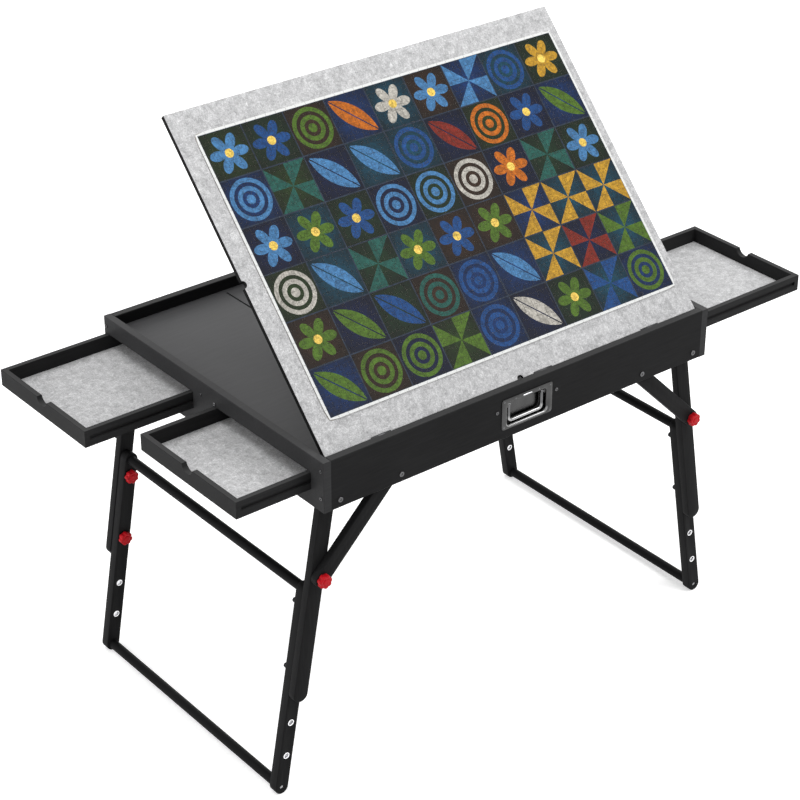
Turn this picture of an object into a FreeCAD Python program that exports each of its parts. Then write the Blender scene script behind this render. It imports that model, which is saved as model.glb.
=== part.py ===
"""Jigsaw puzzle table: a shallow wooden case on four folding, telescoping legs,
with four drawers that slide out of its ends and a felt-topped board that props up.

Frame: millimetres, +X along the long side, +Y from the handle side to the far side,
+Z up, floor at Z = 0. X = 0 and Y = 0 are the middle of the table with its drawers
drawn out as listed below, so the case itself lies a little towards -X.
"""
import FreeCAD, Part
import math
import os
import Sketcher

Vector = FreeCAD.Vector
Rotation = FreeCAD.Rotation

# ---------------------------------------------------------------- driving sizes

DIMENSIONS = [
    # case
    ("table_length", 860, "case, outside, along X"),
    ("table_width", 650, "case, outside, along Y"),
    ("box_height", 94, "height of the case walls"),
    ("panel_wall", 15, "thickness of the four outer walls"),
    ("rim_depth", 22, "from the rim down to the tray floor"),
    ("floor_board", 10, "thickness of the tray floor"),
    ("edge_soft", 1, "chamfer on the handled edges"),
    ("beam_wall", 15, "cross beams between the drawer bays"),
    # drawer bays, front to back
    ("front_post", 34.2, "wall and rail in front of the front drawers"),
    ("centre_post", 61, "post between front and back drawers"),
    ("back_web", 5, "what the groove leaves of the back wall"),
    # drawers
    ("drawer_length", 355, "drawer along X"),
    ("drawer_wall", 10, "thickness of the drawer sides"),
    ("drawer_base", 4, "thickness of the drawer bottom"),
    ("drawer_gap", 0.7, "clearance round a drawer in its bay"),
    ("drawer_stop", 1, "from a shut drawer to the cross beam"),
    ("run_gap", 0.15, "running clearance of groove on runner"),
    ("runner_height", 8, "drawer runner, height"),
    ("runner_reach", 4.2, "how far a runner enters the drawer side"),
    ("groove_spare", 0.3, "groove depth beyond the runner"),
    ("finger_radius", 16, "finger scoop in a drawer front"),
    ("finger_depth", 12, "depth of that scoop"),
    ("felt_wall", 1.2, "thickness of the felt"),
    ("felt_gap", 0.5, "from the felt's edge to the drawer side"),
    # how far each drawer is drawn out
    ("pull_left_front", 146, "left end, front drawer"),
    ("pull_left_back", 215, "left end, back drawer"),
    ("pull_right_front", 277, "right end, front drawer"),
    ("pull_right_back", 0, "right end, back drawer"),
    # legs
    ("leg_width", 29, "upper leg, across"),
    ("leg_depth", 16, "upper leg, thickness"),
    ("lower_width", 26.5, "lower leg, across"),
    ("lower_depth", 19, "lower leg, thickness"),
    ("leg_splay", 10, "degrees out of plumb, each end outwards"),
    ("pivot_height", 15, "leg and brace pivots above the case's lower edge"),
    ("stop_gap", 0.3, "leg to the end wall it leans on"),
    ("layer_gap", 0.3, "between neighbouring layers of wall, brace and legs"),
    ("fold_gap", 0.5, "between the folded legs and what is above and beside them"),
    ("lower_start", 193, "pivot to the upper crossbar, along the leg"),
    ("lower_span", 383.5, "between the two crossbars of a leg frame"),
    ("crossbar_radius", 9, "round crossbars"),
    ("knob_high", 224, "pivot to the upper height knob"),
    ("knob_low", 350, "pivot to the lower height knob"),
    ("hole_high", 446, "pivot to the first spare hole"),
    ("hole_low", 512, "pivot to the second spare hole"),
    ("hole_radius", 4.3, "knob holes"),
    ("insert_depth", 10, "depth of the threaded sockets in the upper leg"),
    # braces
    ("brace_depth", 14, "brace, thickness"),
    ("brace_inset", 158.5, "brace pivot from the end of the case"),
    ("brace_hold", 155, "leg pivot to the brace knob, along the leg"),
    # knobs
    ("knob_radius", 12.8, "lobed knob, over the lobes"),
    ("knob_thick", 11, "lobed knob, thickness"),
    ("lobe_count", 7, "lobes of a knob"),
    ("crest_share", 0.5, "part of the pitch of the lobes that a lobe's crest takes"),
    ("hollow_share", 0.3, "part of that pitch that the floor between two lobes takes"),
    ("lobe_bite", 1.9, "depth of the hollows between the lobes"),
    ("knob_soft", 1.2, "chamfer of the knob's outer edge"),
    ("stud_gap", 0.1, "stud in its hole, radial"),
    ("nut_radius", 4.8, "barrel nut of a front leg, to its flats"),
    ("nut_long", 16, "barrel nut of a front leg, length"),
    # bolts and screws
    ("bolt_radius", 3, "pivot bolt shank"),
    ("bolt_gap", 0.06, "pivot bolt in its hole, radial"),
    ("bolt_head", 5, "pivot bolt head, radius"),
    ("collar_radius", 8, "hexagonal spacer collar of the leg bolt, to its flats"),
    ("screw_radius", 2, "wood screw shank"),
    ("screw_head", 3.4, "wood screw head, radius"),
    ("head_height", 1.8, "height of the bolt and screw heads"),
    ("screw_bite", 18, "screw length past the wall it holds"),
    ("screw_spread", 51, "between the two screws of a corner"),
    ("screw_low", 25, "lower corner screw above the case's lower edge"),
    ("floor_screw_spread", 41, "between the two end screws of the tray floor"),
    ("beam_screw_drop", 38, "beam screws below the rim"),
    # board
    ("board_gap", 1.5, "board to the rim, all round"),
    ("board_wall", 5, "thickness of the board"),
    ("board_tilt", 46.5, "degrees the board is propped up"),
    ("board_drop", 2, "board's upper face below the rim"),
    ("thumb_radius", 6.5, "finger notches in the board's edges"),
    ("puzzle_width", 776, "jigsaw, along X"),
    ("puzzle_depth", 521, "jigsaw, up the board"),
    ("puzzle_wall", 1.8, "thickness of the jigsaw"),
    ("puzzle_margin", 50, "jigsaw from the board's lower edge"),
    ("puzzle_shift", 9, "jigsaw off the board's middle"),
    ("puzzle_corner", 8, "rounding of the jigsaw's corners"),
    # board hinges
    ("hinge_radius", 1.8, "hinge knuckle"),
    ("hinge_clear", 0.2, "knuckle to the rim"),
    ("hinge_leaf", 0.9, "thickness of a hinge leaf"),
    ("hinge_reach", 17, "length of a leaf from the pin"),
    ("hinge_width", 40, "length of a hinge along X"),
    ("hinge_spread", 300, "outer hinges from the board's middle"),
    ("hinge_shift", 50, "middle hinge from the board's middle, beside the notch"),
    ("pin_radius", 0.9, "hinge pin"),
    ("pin_gap", 0.07, "hinge pin in its knuckle, radial"),
    # prop frame under the board
    ("prop_spread", 366, "between the two prop arms"),
    ("prop_seat", 286, "board hinge to the prop's pivot, up the board"),
    ("prop_length", 309, "prop pivot to foot"),
    ("prop_drop", 15.4, "prop pivot under the board's upper face"),
    ("prop_rod", 3.2, "radius of the prop's pivot rod"),
    ("prop_cross", 247, "prop pivot to the stiffening rod"),
    ("prop_cross_rod", 3, "radius of that rod"),
    ("prop_strap", 3, "thickness of a prop arm"),
    ("prop_foot", 8, "half height of a prop arm and its foot"),
    ("bracket_gap", 0.1, "prop rod in its brackets, radial"),
    ("bracket_thick", 12, "prop bracket along X"),
    ("bracket_wall", 0.9, "bracket wall round the rod"),
    ("track_side", 0.5, "prop arm to either side of its track"),
    ("track_gap", 0.4, "prop foot above the bottom of its track"),
    # handle
    ("handle_width", 113, "handle plate along X"),
    ("handle_height", 59, "handle plate, height"),
    ("plate_wall", 1.5, "thickness of the handle plate"),
    ("plate_corner", 5, "rounding of the plate's corners"),
    ("dish_width", 90, "handle dish along X"),
    ("dish_height", 45, "handle dish, height"),
    ("dish_sink", 2.2, "dish's middle below the plate's middle"),
    ("dish_depth", 13, "depth of the dish behind the wall's face"),
    ("dish_wall", 1.2, "thickness of the dish"),
    ("dish_corner", 7, "rounding of the dish's corners"),
    ("dish_lip", 1, "chamfer of the lip round the dish"),
    ("dish_draft", 6, "degrees that the dish's sides lean in"),
    ("dish_gap", 0.4, "dish in the wall's cut-out"),
    ("bail_radius", 3.3, "handle bail, radius of the rod"),
    ("bail_width", 74, "between the bail's arms"),
    ("bail_drop", 32, "bail pivot to the middle of its bar"),
    ("bail_bend", 7, "bend at the bail's corners"),
    ("bail_pin", 2.2, "radius of the bail's end pins"),
    ("bail_gap", 0.3, "bail's arms to the bosses beside them"),
    ("bail_rise", 16, "bail pivot above the dish's middle"),
    ("bail_depth", 5, "bail axis behind the wall's face"),
    ("boss_wall", 1.4, "boss round a bail pin"),
    ("rivet_radius", 1.8, "handle plate rivets"),
    ("rivet_rise", 0.6, "height of the rivet heads"),
    ("rivet_spread", 52, "between the two upper rivets"),
    ("bead_width", 20, "raised bead over the dish, along X"),
    ("bead_radius", 1.5, "half height of that bead, and how far it stands out"),
]

doc = FreeCAD.newDocument("JigsawTable")
sheet = doc.addObject("Spreadsheet::Sheet", "dims")
for row, (alias, number, meaning) in enumerate(DIMENSIONS, start=1):
    sheet.set(f"A{row}", alias)
    sheet.set(f"B{row}", str(number))
    sheet.set(f"C{row}", meaning)
    sheet.setAlias(f"B{row}", alias)
doc.recompute()


class Size:
    """A size as an expression on the sheet, with the number it works out to."""

    def __init__(self, text, value):
        self.text = text
        self.value = float(value)

    def __add__(self, other):
        other = size(other)
        return Size(f"({self.text} + {other.text})", self.value + other.value)

    def __sub__(self, other):
        other = size(other)
        return Size(f"({self.text} - {other.text})", self.value - other.value)

    def __mul__(self, other):
        other = size(other)
        return Size(f"({self.text} * {other.text})", self.value * other.value)

    def __truediv__(self, other):
        other = size(other)
        return Size(f"({self.text} / {other.text})", self.value / other.value)

    def __neg__(self):
        return Size(f"(-1 * {self.text})", -self.value)

    __radd__ = __add__
    __rmul__ = __mul__

    def __rsub__(self, other):
        return size(other) - self

    def __rtruediv__(self, other):
        return size(other) / self


def size(thing):
    """A plain number as a Size; a Size as it is."""
    if isinstance(thing, Size):
        return thing
    return Size(f"({thing})", thing)


def sine(angle):
    return Size(f"sin({angle.text})", math.sin(math.radians(angle.value)))


def cosine(angle):
    return Size(f"cos({angle.text})", math.cos(math.radians(angle.value)))


def tangent(angle):
    return Size(f"tan({angle.text})", math.tan(math.radians(angle.value)))


def arcsine(ratio):
    return Size(f"(asin({ratio.text}) / 1 deg)", math.degrees(math.asin(ratio.value)))


def arctangent(ratio):
    return Size(f"(atan({ratio.text}) / 1 deg)", math.degrees(math.atan(ratio.value)))


def length_of(across, along):
    return Size(f"hypot({across.text}; {along.text})", math.hypot(across.value, along.value))


D = {alias: Size(f"dims.{alias}", number) for alias, number, meaning in DIMENSIONS}

# ---------------------------------------------------------------- derived places

FRONT, BACK = -1, 1
LEFT, RIGHT = -1, 1

# Small details that nothing turns on are regular prisms: heads on ROUND, shanks and collars on HEX.
ROUND, HEX = 12, 6

# A prism with its corners on a radius has its flats at this share of that radius.
flat_share = math.cos(math.pi / ROUND)

half_length = D["table_length"] / 2
half_width = D["table_width"] / 2
inner_length = D["table_length"] - 2 * D["panel_wall"]
inner_width = D["table_width"] - 2 * D["panel_wall"]

# The widest reach on each side sets the middle of the frame.
case_x = (D["pull_left_back"] - D["pull_right_front"]) / 2

# Leg geometry: a leg leans on the lower edge of the end wall.
splay_sin = sine(D["leg_splay"])
splay_cos = cosine(D["leg_splay"])
pivot_inset = (D["panel_wall"] + D["stop_gap"] + D["leg_width"] / 2 / splay_cos
               + D["pivot_height"] * tangent(D["leg_splay"]))
upper_reach = half_length - pivot_inset - D["fold_gap"]
foot_along = D["lower_start"] + D["lower_span"]
case_z = foot_along * splay_cos + D["lower_width"] / 2 - D["pivot_height"]
pivot_z = case_z + D["pivot_height"]

# Layers behind each long wall, measured inwards from the wall's outer face.
brace_layer = D["panel_wall"] + D["layer_gap"]
upper_layer = brace_layer + D["brace_depth"] + D["layer_gap"]
lower_layer = upper_layer + D["leg_depth"] + D["layer_gap"]
crossbar_layer = lower_layer + D["lower_depth"]

# Levels of the case, above its lower edge.
floor_top = D["box_height"] - D["rim_depth"]
floor_under = floor_top - D["floor_board"]
drawer_low = D["pivot_height"] + D["leg_width"] / 2 + D["fold_gap"]
drawer_height = floor_under - D["drawer_gap"] - drawer_low
bay_low = drawer_low - D["drawer_gap"]
runner_low = drawer_low + D["finger_depth"]

# Drawer bays, from the outer front face.
bay_width = (D["table_width"] - D["front_post"] - D["centre_post"] - D["back_web"]) / 2
drawer_width = bay_width - 2 * D["drawer_gap"]
front_bay = D["front_post"]
back_bay = front_bay + bay_width + D["centre_post"]
beam_inset = D["drawer_length"] + D["drawer_stop"]
beam_middle = half_length - beam_inset - D["beam_wall"] / 2
beam_screw_z = D["box_height"] - D["beam_screw_drop"]

# Board hinge axis.
hinge_y = D["panel_wall"] + D["hinge_clear"] + D["hinge_radius"] - half_width
hinge_z = case_z + D["box_height"] - D["board_drop"]
board_width = inner_length - 2 * D["board_gap"]
board_depth = half_width - D["panel_wall"] - D["board_gap"] - hinge_y
board_under = D["felt_wall"] + D["board_wall"]

# Prop frame: pivot under the board, feet in the tracks.
tilt_sin = sine(D["board_tilt"])
tilt_cos = cosine(D["board_tilt"])
prop_y = hinge_y + D["prop_seat"] * tilt_cos + D["prop_drop"] * tilt_sin
prop_z = hinge_z + D["prop_seat"] * tilt_sin - D["prop_drop"] * tilt_cos
prop_lean = arcsine((prop_z - hinge_z + D["prop_drop"]) / D["prop_length"])
foot_flat_y = hinge_y + D["prop_seat"] + D["prop_length"]
track_width = D["prop_strap"] + 2 * D["track_side"]
track_depth = (D["board_drop"] + D["prop_drop"] + D["prop_foot"] - D["rim_depth"]
               + D["track_gap"])


# ---------------------------------------------------------------- making features

def origin_feature(body, role):
    """The body's own origin plane or axis with this role."""
    for feature in body.Origin.OriginFeatures:
        if feature.Role == role:
            return feature


def place(thing, x=0, y=0, z=0, axis=None, angle=None):
    """Bind an object's Placement to expressions: a shift, and a turn about one axis."""
    x, y, z = size(x), size(y), size(z)
    turn = Rotation() if axis is None else Rotation(Vector(*axis), size(angle).value)
    thing.Placement = FreeCAD.Placement(Vector(x.value, y.value, z.value), turn)
    for name, shift in (("x", x), ("y", y), ("z", z)):
        thing.setExpression(f"Placement.Base.{name}", shift.text)
    if axis is not None:
        thing.setExpression("Placement.Rotation.Angle", size(angle).text)


def new_body(label, **where):
    body = doc.addObject("PartDesign::Body", label)
    body.Label = label
    place(body, **where)
    return body


def new_sketch(body, plane, lift=None):
    """A sketch on one of the body's origin planes, lifted along the plane's normal."""
    sketch = body.newObject("Sketcher::SketchObject", body.Label + "_sketch")
    sketch.AttachmentSupport = [(origin_feature(body, plane), "")]
    sketch.MapMode = "FlatFace"
    if lift is not None:
        sketch.AttachmentOffset = FreeCAD.Placement(Vector(0, 0, lift.value), Rotation())
        sketch.setExpression(".AttachmentOffset.Base.z", lift.text)
    return sketch


def pin(sketch, geometry, point, x, y):
    """Hold one point of a sketch element at x, y from the sketch's origin."""
    for kind, value in (("DistanceX", size(x)), ("DistanceY", size(y))):
        constraint = Sketcher.Constraint(kind, -1, 1, geometry, point, value.value)
        number = sketch.addConstraint(constraint)
        sketch.setExpression(f"Constraints[{number}]", value.text)


def bind_radius(sketch, geometry, radius):
    number = sketch.addConstraint(Sketcher.Constraint("Radius", geometry, radius.value))
    sketch.setExpression(f"Constraints[{number}]", radius.text)


def draw_polygon(sketch, corners):
    """A closed outline of straight lines through the corners."""
    corners = [(size(x), size(y)) for x, y in corners]
    spots = [Vector(x.value, y.value, 0) for x, y in corners]
    lines = []
    for start, end in zip(spots, spots[1:] + spots[:1]):
        lines.append(sketch.addGeometry(Part.LineSegment(start, end)))
    for line, following in zip(lines, lines[1:] + lines[:1]):
        sketch.addConstraint(Sketcher.Constraint("Coincident", line, 2, following, 1))
    for line, (x, y) in zip(lines, corners):
        pin(sketch, line, 1, x, y)


def draw_rectangle(sketch, x_low, y_low, x_high, y_high):
    draw_polygon(sketch, [(x_low, y_low), (x_high, y_low), (x_high, y_high), (x_low, y_high)])


def corner_angles(sides):
    """Directions of a regular polygon's corners, even about both axes."""
    return [math.radians((number + 0.5) * 360 / sides) for number in range(sides)]


def draw_prism(sketch, x, y, flat, sides):
    """A regular polygon whose flats lie at a distance from its middle."""
    reach = size(flat) / cosine(size(180) / sides)
    draw_polygon(sketch, [(x + reach * math.cos(angle), y + reach * math.sin(angle))
                          for angle in corner_angles(sides)])


def draw_circle(sketch, x, y, radius):
    x, y, radius = size(x), size(y), size(radius)
    circle = Part.Circle(Vector(x.value, y.value, 0), Vector(0, 0, 1), radius.value)
    geometry = sketch.addGeometry(circle)
    pin(sketch, geometry, 3, x, y)
    bind_radius(sketch, geometry, radius)


def draw_bar(sketch, y_high, y_low, radius):
    """A bar with half-round ends along the sketch's Y axis; ends given by their centres."""
    y_high, y_low, radius = size(y_high), size(y_low), size(radius)
    up, z_axis = Vector(0, y_high.value, 0), Vector(0, 0, 1)
    down, side = Vector(0, y_low.value, 0), Vector(radius.value, 0, 0)
    top = sketch.addGeometry(
        Part.ArcOfCircle(Part.Circle(up, z_axis, radius.value), 0, math.pi))
    left = sketch.addGeometry(Part.LineSegment(up - side, down - side))
    bottom = sketch.addGeometry(
        Part.ArcOfCircle(Part.Circle(down, z_axis, radius.value), math.pi, 2 * math.pi))
    right = sketch.addGeometry(Part.LineSegment(down + side, up + side))
    ring = [top, left, bottom, right]
    for piece, following in zip(ring, ring[1:] + ring[:1]):
        sketch.addConstraint(Sketcher.Constraint("Tangent", piece, 2, following, 1))
    pin(sketch, top, 3, 0, y_high)
    pin(sketch, bottom, 3, 0, y_low)
    bind_radius(sketch, top, radius)


def draw_half_disc(sketch, x, y, radius):
    """A half disc that bulges towards the sketch's -X, with its flat side at x."""
    centre = Vector(x.value, y.value, 0)
    up = Vector(0, radius.value, 0)
    circle = Part.Circle(centre, Vector(0, 0, 1), radius.value)
    arc = sketch.addGeometry(Part.ArcOfCircle(circle, math.pi / 2, 1.5 * math.pi))
    flat = sketch.addGeometry(Part.LineSegment(centre - up, centre + up))
    sketch.addConstraint(Sketcher.Constraint("Coincident", arc, 2, flat, 1))
    sketch.addConstraint(Sketcher.Constraint("Coincident", flat, 2, arc, 1))
    pin(sketch, arc, 3, x, y)
    sketch.addConstraint(Sketcher.Constraint("Vertical", flat))
    bind_radius(sketch, arc, radius)
    sketch.addConstraint(Sketcher.Constraint("PointOnObject", arc, 3, flat))


def draw_rounded_rectangle(sketch, width, height, corner, middle=0):
    """A rounded rectangle about a middle on the sketch's Y axis."""
    x, y, middle = size(width) / 2 - corner, size(height) / 2 - corner, size(middle)
    z_axis = Vector(0, 0, 1)
    arcs = []
    for quarter, (sx, sy) in enumerate(((1, 1), (-1, 1), (-1, -1), (1, -1))):
        centre = Vector(sx * x.value, (middle + sy * y).value, 0)
        start = quarter * math.pi / 2
        circle = Part.Circle(centre, z_axis, corner.value)
        arcs.append(sketch.addGeometry(Part.ArcOfCircle(circle, start, start + math.pi / 2)))
        pin(sketch, arcs[-1], 3, sx * x, middle + sy * y)
        bind_radius(sketch, arcs[-1], corner)
    for arc, following in zip(arcs, arcs[1:] + arcs[:1]):
        start = sketch.getPoint(arc, 2)
        end = sketch.getPoint(following, 1)
        line = sketch.addGeometry(Part.LineSegment(start, end))
        sketch.addConstraint(Sketcher.Constraint("Tangent", arc, 2, line, 1))
        sketch.addConstraint(Sketcher.Constraint("Tangent", line, 2, following, 1))


def extrude(kind, body, sketch, length, reverse, draft):
    """A Pad or Pocket of the sketch whose sides lean in by draft degrees."""
    feature = body.newObject("PartDesign::" + kind, f"{body.Label}_{kind.lower()}")
    feature.Profile = sketch
    feature.Reversed = reverse
    feature.setExpression("Length", size(length).text)
    if draft is not None:
        feature.setExpression("TaperAngle", (-draft).text)
    return feature


def pad(body, sketch, length, reverse=False, draft=None):
    """Grow the sketch along the plane's normal; reverse sends it the other way."""
    return extrude("Pad", body, sketch, length, reverse, draft)


def pocket(body, sketch, length, reverse=False, draft=None):
    """Cut the sketch against the plane's normal; reverse cuts along it."""
    return extrude("Pocket", body, sketch, length, reverse, draft)


def pick_edges(shape, wanted):
    """Names of the edges whose box and curve satisfy the test."""
    return [f"Edge{number}" for number, edge in enumerate(shape.Edges, start=1)
            if wanted(edge.BoundBox, edge)]


def soften(body, kind, amount, wanted):
    """Chamfer or fillet the edges of the body's last feature that satisfy the test."""
    doc.recompute()
    base = body.Tip
    names = pick_edges(base.Shape, wanted)
    feature = body.newObject("PartDesign::" + kind, body.Label + "_soft")
    feature.Base = (base, names)
    amount_name = "Radius" if kind == "Fillet" else "Size"
    feature.setExpression(amount_name, size(amount).text)
    return feature


def near(first, second):
    return abs(first - second) < 1e-3


def side_name(label, side, end=None):
    words = [label, "left" if side == LEFT else "right"]
    if end is not None:
        words.append("front" if end == FRONT else "back")
    return "_".join(words)


# ---------------------------------------------------------------- case

def make_end_panel(side):
    """An end wall across the whole width, with two drawer bays and its screw holes."""
    inner_face = half_length - D["panel_wall"]
    x = case_x + inner_face if side == RIGHT else case_x - half_length
    body = new_body(side_name("end_panel", side), x=x, y=-half_width, z=case_z)
    sketch = new_sketch(body, "YZ_Plane")
    draw_rectangle(sketch, 0, 0, D["table_width"], D["box_height"])
    for bay in (front_bay, back_bay):
        draw_rectangle(sketch, bay, bay_low, bay + bay_width, floor_under)
    pad(body, sketch, D["panel_wall"])
    holes = new_sketch(body, "YZ_Plane")
    for y, z in end_screw_places():
        draw_prism(holes, y, z, D["screw_radius"], HEX)
    pocket(body, holes, D["panel_wall"], reverse=True)
    outer_x = D["panel_wall"].value if side == RIGHT else 0
    top, wide = D["box_height"].value, D["table_width"].value

    def rim_or_corner(box, edge):
        rim = near(box.ZMin, top) and box.YLength > wide - 1
        corner = near(box.XMin, outer_x) and near(box.XMax, outer_x)
        corner = corner and box.ZLength > top - 1 and (near(box.YMin, 0) or near(box.YMin, wide))
        return rim or corner

    soften(body, "Chamfer", D["edge_soft"], rim_or_corner)


def end_screw_places():
    """Screws in an end wall, from its front lower corner: two per corner, two in the floor."""
    edge = D["panel_wall"] / 2
    places = []
    for y in (edge, D["table_width"] - edge):
        for z in (D["screw_low"], D["screw_low"] + D["screw_spread"]):
            places.append((y, z))
    for step in (-1, 1):
        y = D["table_width"] / 2 + step * D["floor_screw_spread"] / 2
        places.append((y, floor_top - D["floor_board"] / 2))
    return places


def drill_wall_ends(body, end):
    """Pilot holes for the corner screws in both ends of a long wall."""
    for side in (LEFT, RIGHT):
        sketch = new_sketch(body, "YZ_Plane", lift=side * (inner_length / 2))
        for z in (D["screw_low"], D["screw_low"] + D["screw_spread"]):
            draw_prism(sketch, -end * D["panel_wall"] / 2, z, D["screw_radius"], HEX)
        pocket(body, sketch, D["screw_bite"], reverse=side == LEFT)


def drill_wall_face(body, end):
    """Holes for the leg and brace bolts and the beam screws, through a long wall."""
    sketch = new_sketch(body, "XZ_Plane")
    for side in (LEFT, RIGHT):
        for inset in (pivot_inset, D["brace_inset"]):
            draw_prism(sketch, side * (half_length - inset), D["pivot_height"],
                       D["bolt_radius"], HEX)
        draw_prism(sketch, side * beam_middle, beam_screw_z, D["screw_radius"], HEX)
    pocket(body, sketch, D["panel_wall"], reverse=end == BACK)


def chamfer_long_wall(body, end):
    """Soften both upper edges and the outer lower edge of a long wall."""
    top, outer_y = D["box_height"].value, 0

    def wanted(box, edge):
        if box.XLength < inner_length.value - 1:
            return False
        return near(box.ZMin, top) or (near(box.ZMax, 0) and near(box.YMin, outer_y))

    soften(body, "Chamfer", D["edge_soft"], wanted)


def make_front_panel():
    """The front wall: outline, cut-out for the handle dish, bolt and screw holes."""
    body = new_body("front_panel", x=case_x, y=-half_width, z=case_z)
    sketch = new_sketch(body, "XZ_Plane")
    draw_rectangle(sketch, -inner_length / 2, 0, inner_length / 2, D["box_height"])
    pad(body, sketch, D["panel_wall"], reverse=True)
    drill_wall_face(body, FRONT)
    drill_wall_ends(body, FRONT)
    cutout = new_sketch(body, "XZ_Plane")
    around = 2 * D["dish_gap"]
    draw_rounded_rectangle(cutout, D["dish_width"] + around, D["dish_height"] + around,
                           D["dish_corner"] + D["dish_gap"],
                           middle=D["box_height"] / 2 - D["dish_sink"])
    pocket(body, cutout, D["panel_wall"])
    chamfer_long_wall(body, FRONT)


def make_back_panel():
    """The back wall: a moulded profile whose groove takes the drawer sides on a runner."""
    body = new_body("back_panel", x=case_x, y=half_width, z=case_z)
    sketch = new_sketch(body, "YZ_Plane", lift=-inner_length / 2)
    wall, web = D["panel_wall"], D["back_web"]
    runner_top = runner_low + D["runner_height"]
    runner_tip = web + D["drawer_gap"] + D["runner_reach"]
    draw_polygon(sketch, [
        (0, 0), (-wall, 0), (-wall, bay_low), (-web, bay_low),
        (-web, runner_low), (-runner_tip, runner_low),
        (-runner_tip, runner_top), (-web, runner_top),
        (-web, floor_under), (-wall, floor_under), (-wall, D["box_height"]),
        (0, D["box_height"])])
    pad(body, sketch, inner_length)
    drill_wall_face(body, BACK)
    drill_wall_ends(body, BACK)
    chamfer_long_wall(body, BACK)


def make_tray_floor():
    """The tray floor, with the two tracks that the prop's feet run in."""
    body = new_body("tray_floor", x=case_x, z=case_z)
    sketch = new_sketch(body, "XY_Plane", lift=floor_under)
    draw_rectangle(sketch, -inner_length / 2, -inner_width / 2, inner_length / 2, inner_width / 2)
    pad(body, sketch, D["floor_board"])
    tracks = new_sketch(body, "XY_Plane", lift=floor_top)
    spare = D["prop_foot"] + track_depth
    for side in (LEFT, RIGHT):
        middle, half = side * D["prop_spread"] / 2, track_width / 2
        draw_rectangle(tracks, middle - half, prop_y, middle + half, foot_flat_y + spare)
    pocket(body, tracks, track_depth)
    for side in (LEFT, RIGHT):
        holes = new_sketch(body, "YZ_Plane", lift=side * (inner_length / 2))
        for step in (-1, 1):
            y = step * D["floor_screw_spread"] / 2
            draw_prism(holes, y, floor_top - D["floor_board"] / 2, D["screw_radius"], HEX)
        pocket(body, holes, D["screw_bite"], reverse=side == LEFT)


def make_cross_beam(side):
    """A beam across the case behind the drawers, screwed to both long walls."""
    x = case_x + side * beam_middle - D["beam_wall"] / 2
    body = new_body(side_name("cross_beam", side), x=x, z=case_z)
    sketch = new_sketch(body, "YZ_Plane")
    draw_rectangle(sketch, -inner_width / 2, drawer_low, inner_width / 2, floor_under)
    pad(body, sketch, D["beam_wall"])
    for end in (FRONT, BACK):
        holes = new_sketch(body, "XZ_Plane", lift=-end * (inner_width / 2))
        draw_prism(holes, D["beam_wall"] / 2, beam_screw_z, D["screw_radius"], HEX)
        pocket(body, holes, D["screw_bite"], reverse=end == BACK)


def runner_corners(face, step, low, high):
    """A carrying face from low to high with a runner standing out of it by step."""
    tip = face + step * (D["drawer_gap"] + D["runner_reach"])
    runner_top = runner_low + D["runner_height"]
    return [(face, low), (face, runner_low), (tip, runner_low),
            (tip, runner_top), (face, runner_top), (face, high)]


def make_front_rail(side):
    """The rail behind the front wall whose runner carries a front drawer's outer side."""
    length = beam_inset - D["panel_wall"]
    x = case_x + (half_length - beam_inset if side == RIGHT else D["panel_wall"] - half_length)
    body = new_body(side_name("drawer_rail", side), x=x, y=-half_width, z=case_z)
    sketch = new_sketch(body, "YZ_Plane")
    face = runner_corners(front_bay, 1, drawer_low, floor_under)
    draw_polygon(sketch, [(D["panel_wall"], floor_under), (D["panel_wall"], drawer_low)] + face)
    pad(body, sketch, length)


def make_divider(side):
    """The channel between front and back drawers, with a runner on either side."""
    length = beam_inset - D["panel_wall"]
    x = case_x + (half_length - beam_inset if side == RIGHT else D["panel_wall"] - half_length)
    body = new_body(side_name("divider", side), x=x, y=-half_width, z=case_z)
    sketch = new_sketch(body, "YZ_Plane")
    front_face, back_face = front_bay + bay_width, back_bay
    wall, web = D["beam_wall"], D["drawer_wall"]
    front = runner_corners(front_face, -1, drawer_low, floor_under)
    back = runner_corners(back_face, 1, drawer_low, floor_under)
    channel = [(back_face - wall, drawer_low), (back_face - wall, floor_under - web),
               (front_face + wall, floor_under - web), (front_face + wall, drawer_low)]
    draw_polygon(sketch, front + back[::-1] + channel)
    pad(body, sketch, length)


# ---------------------------------------------------------------- drawers

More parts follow.
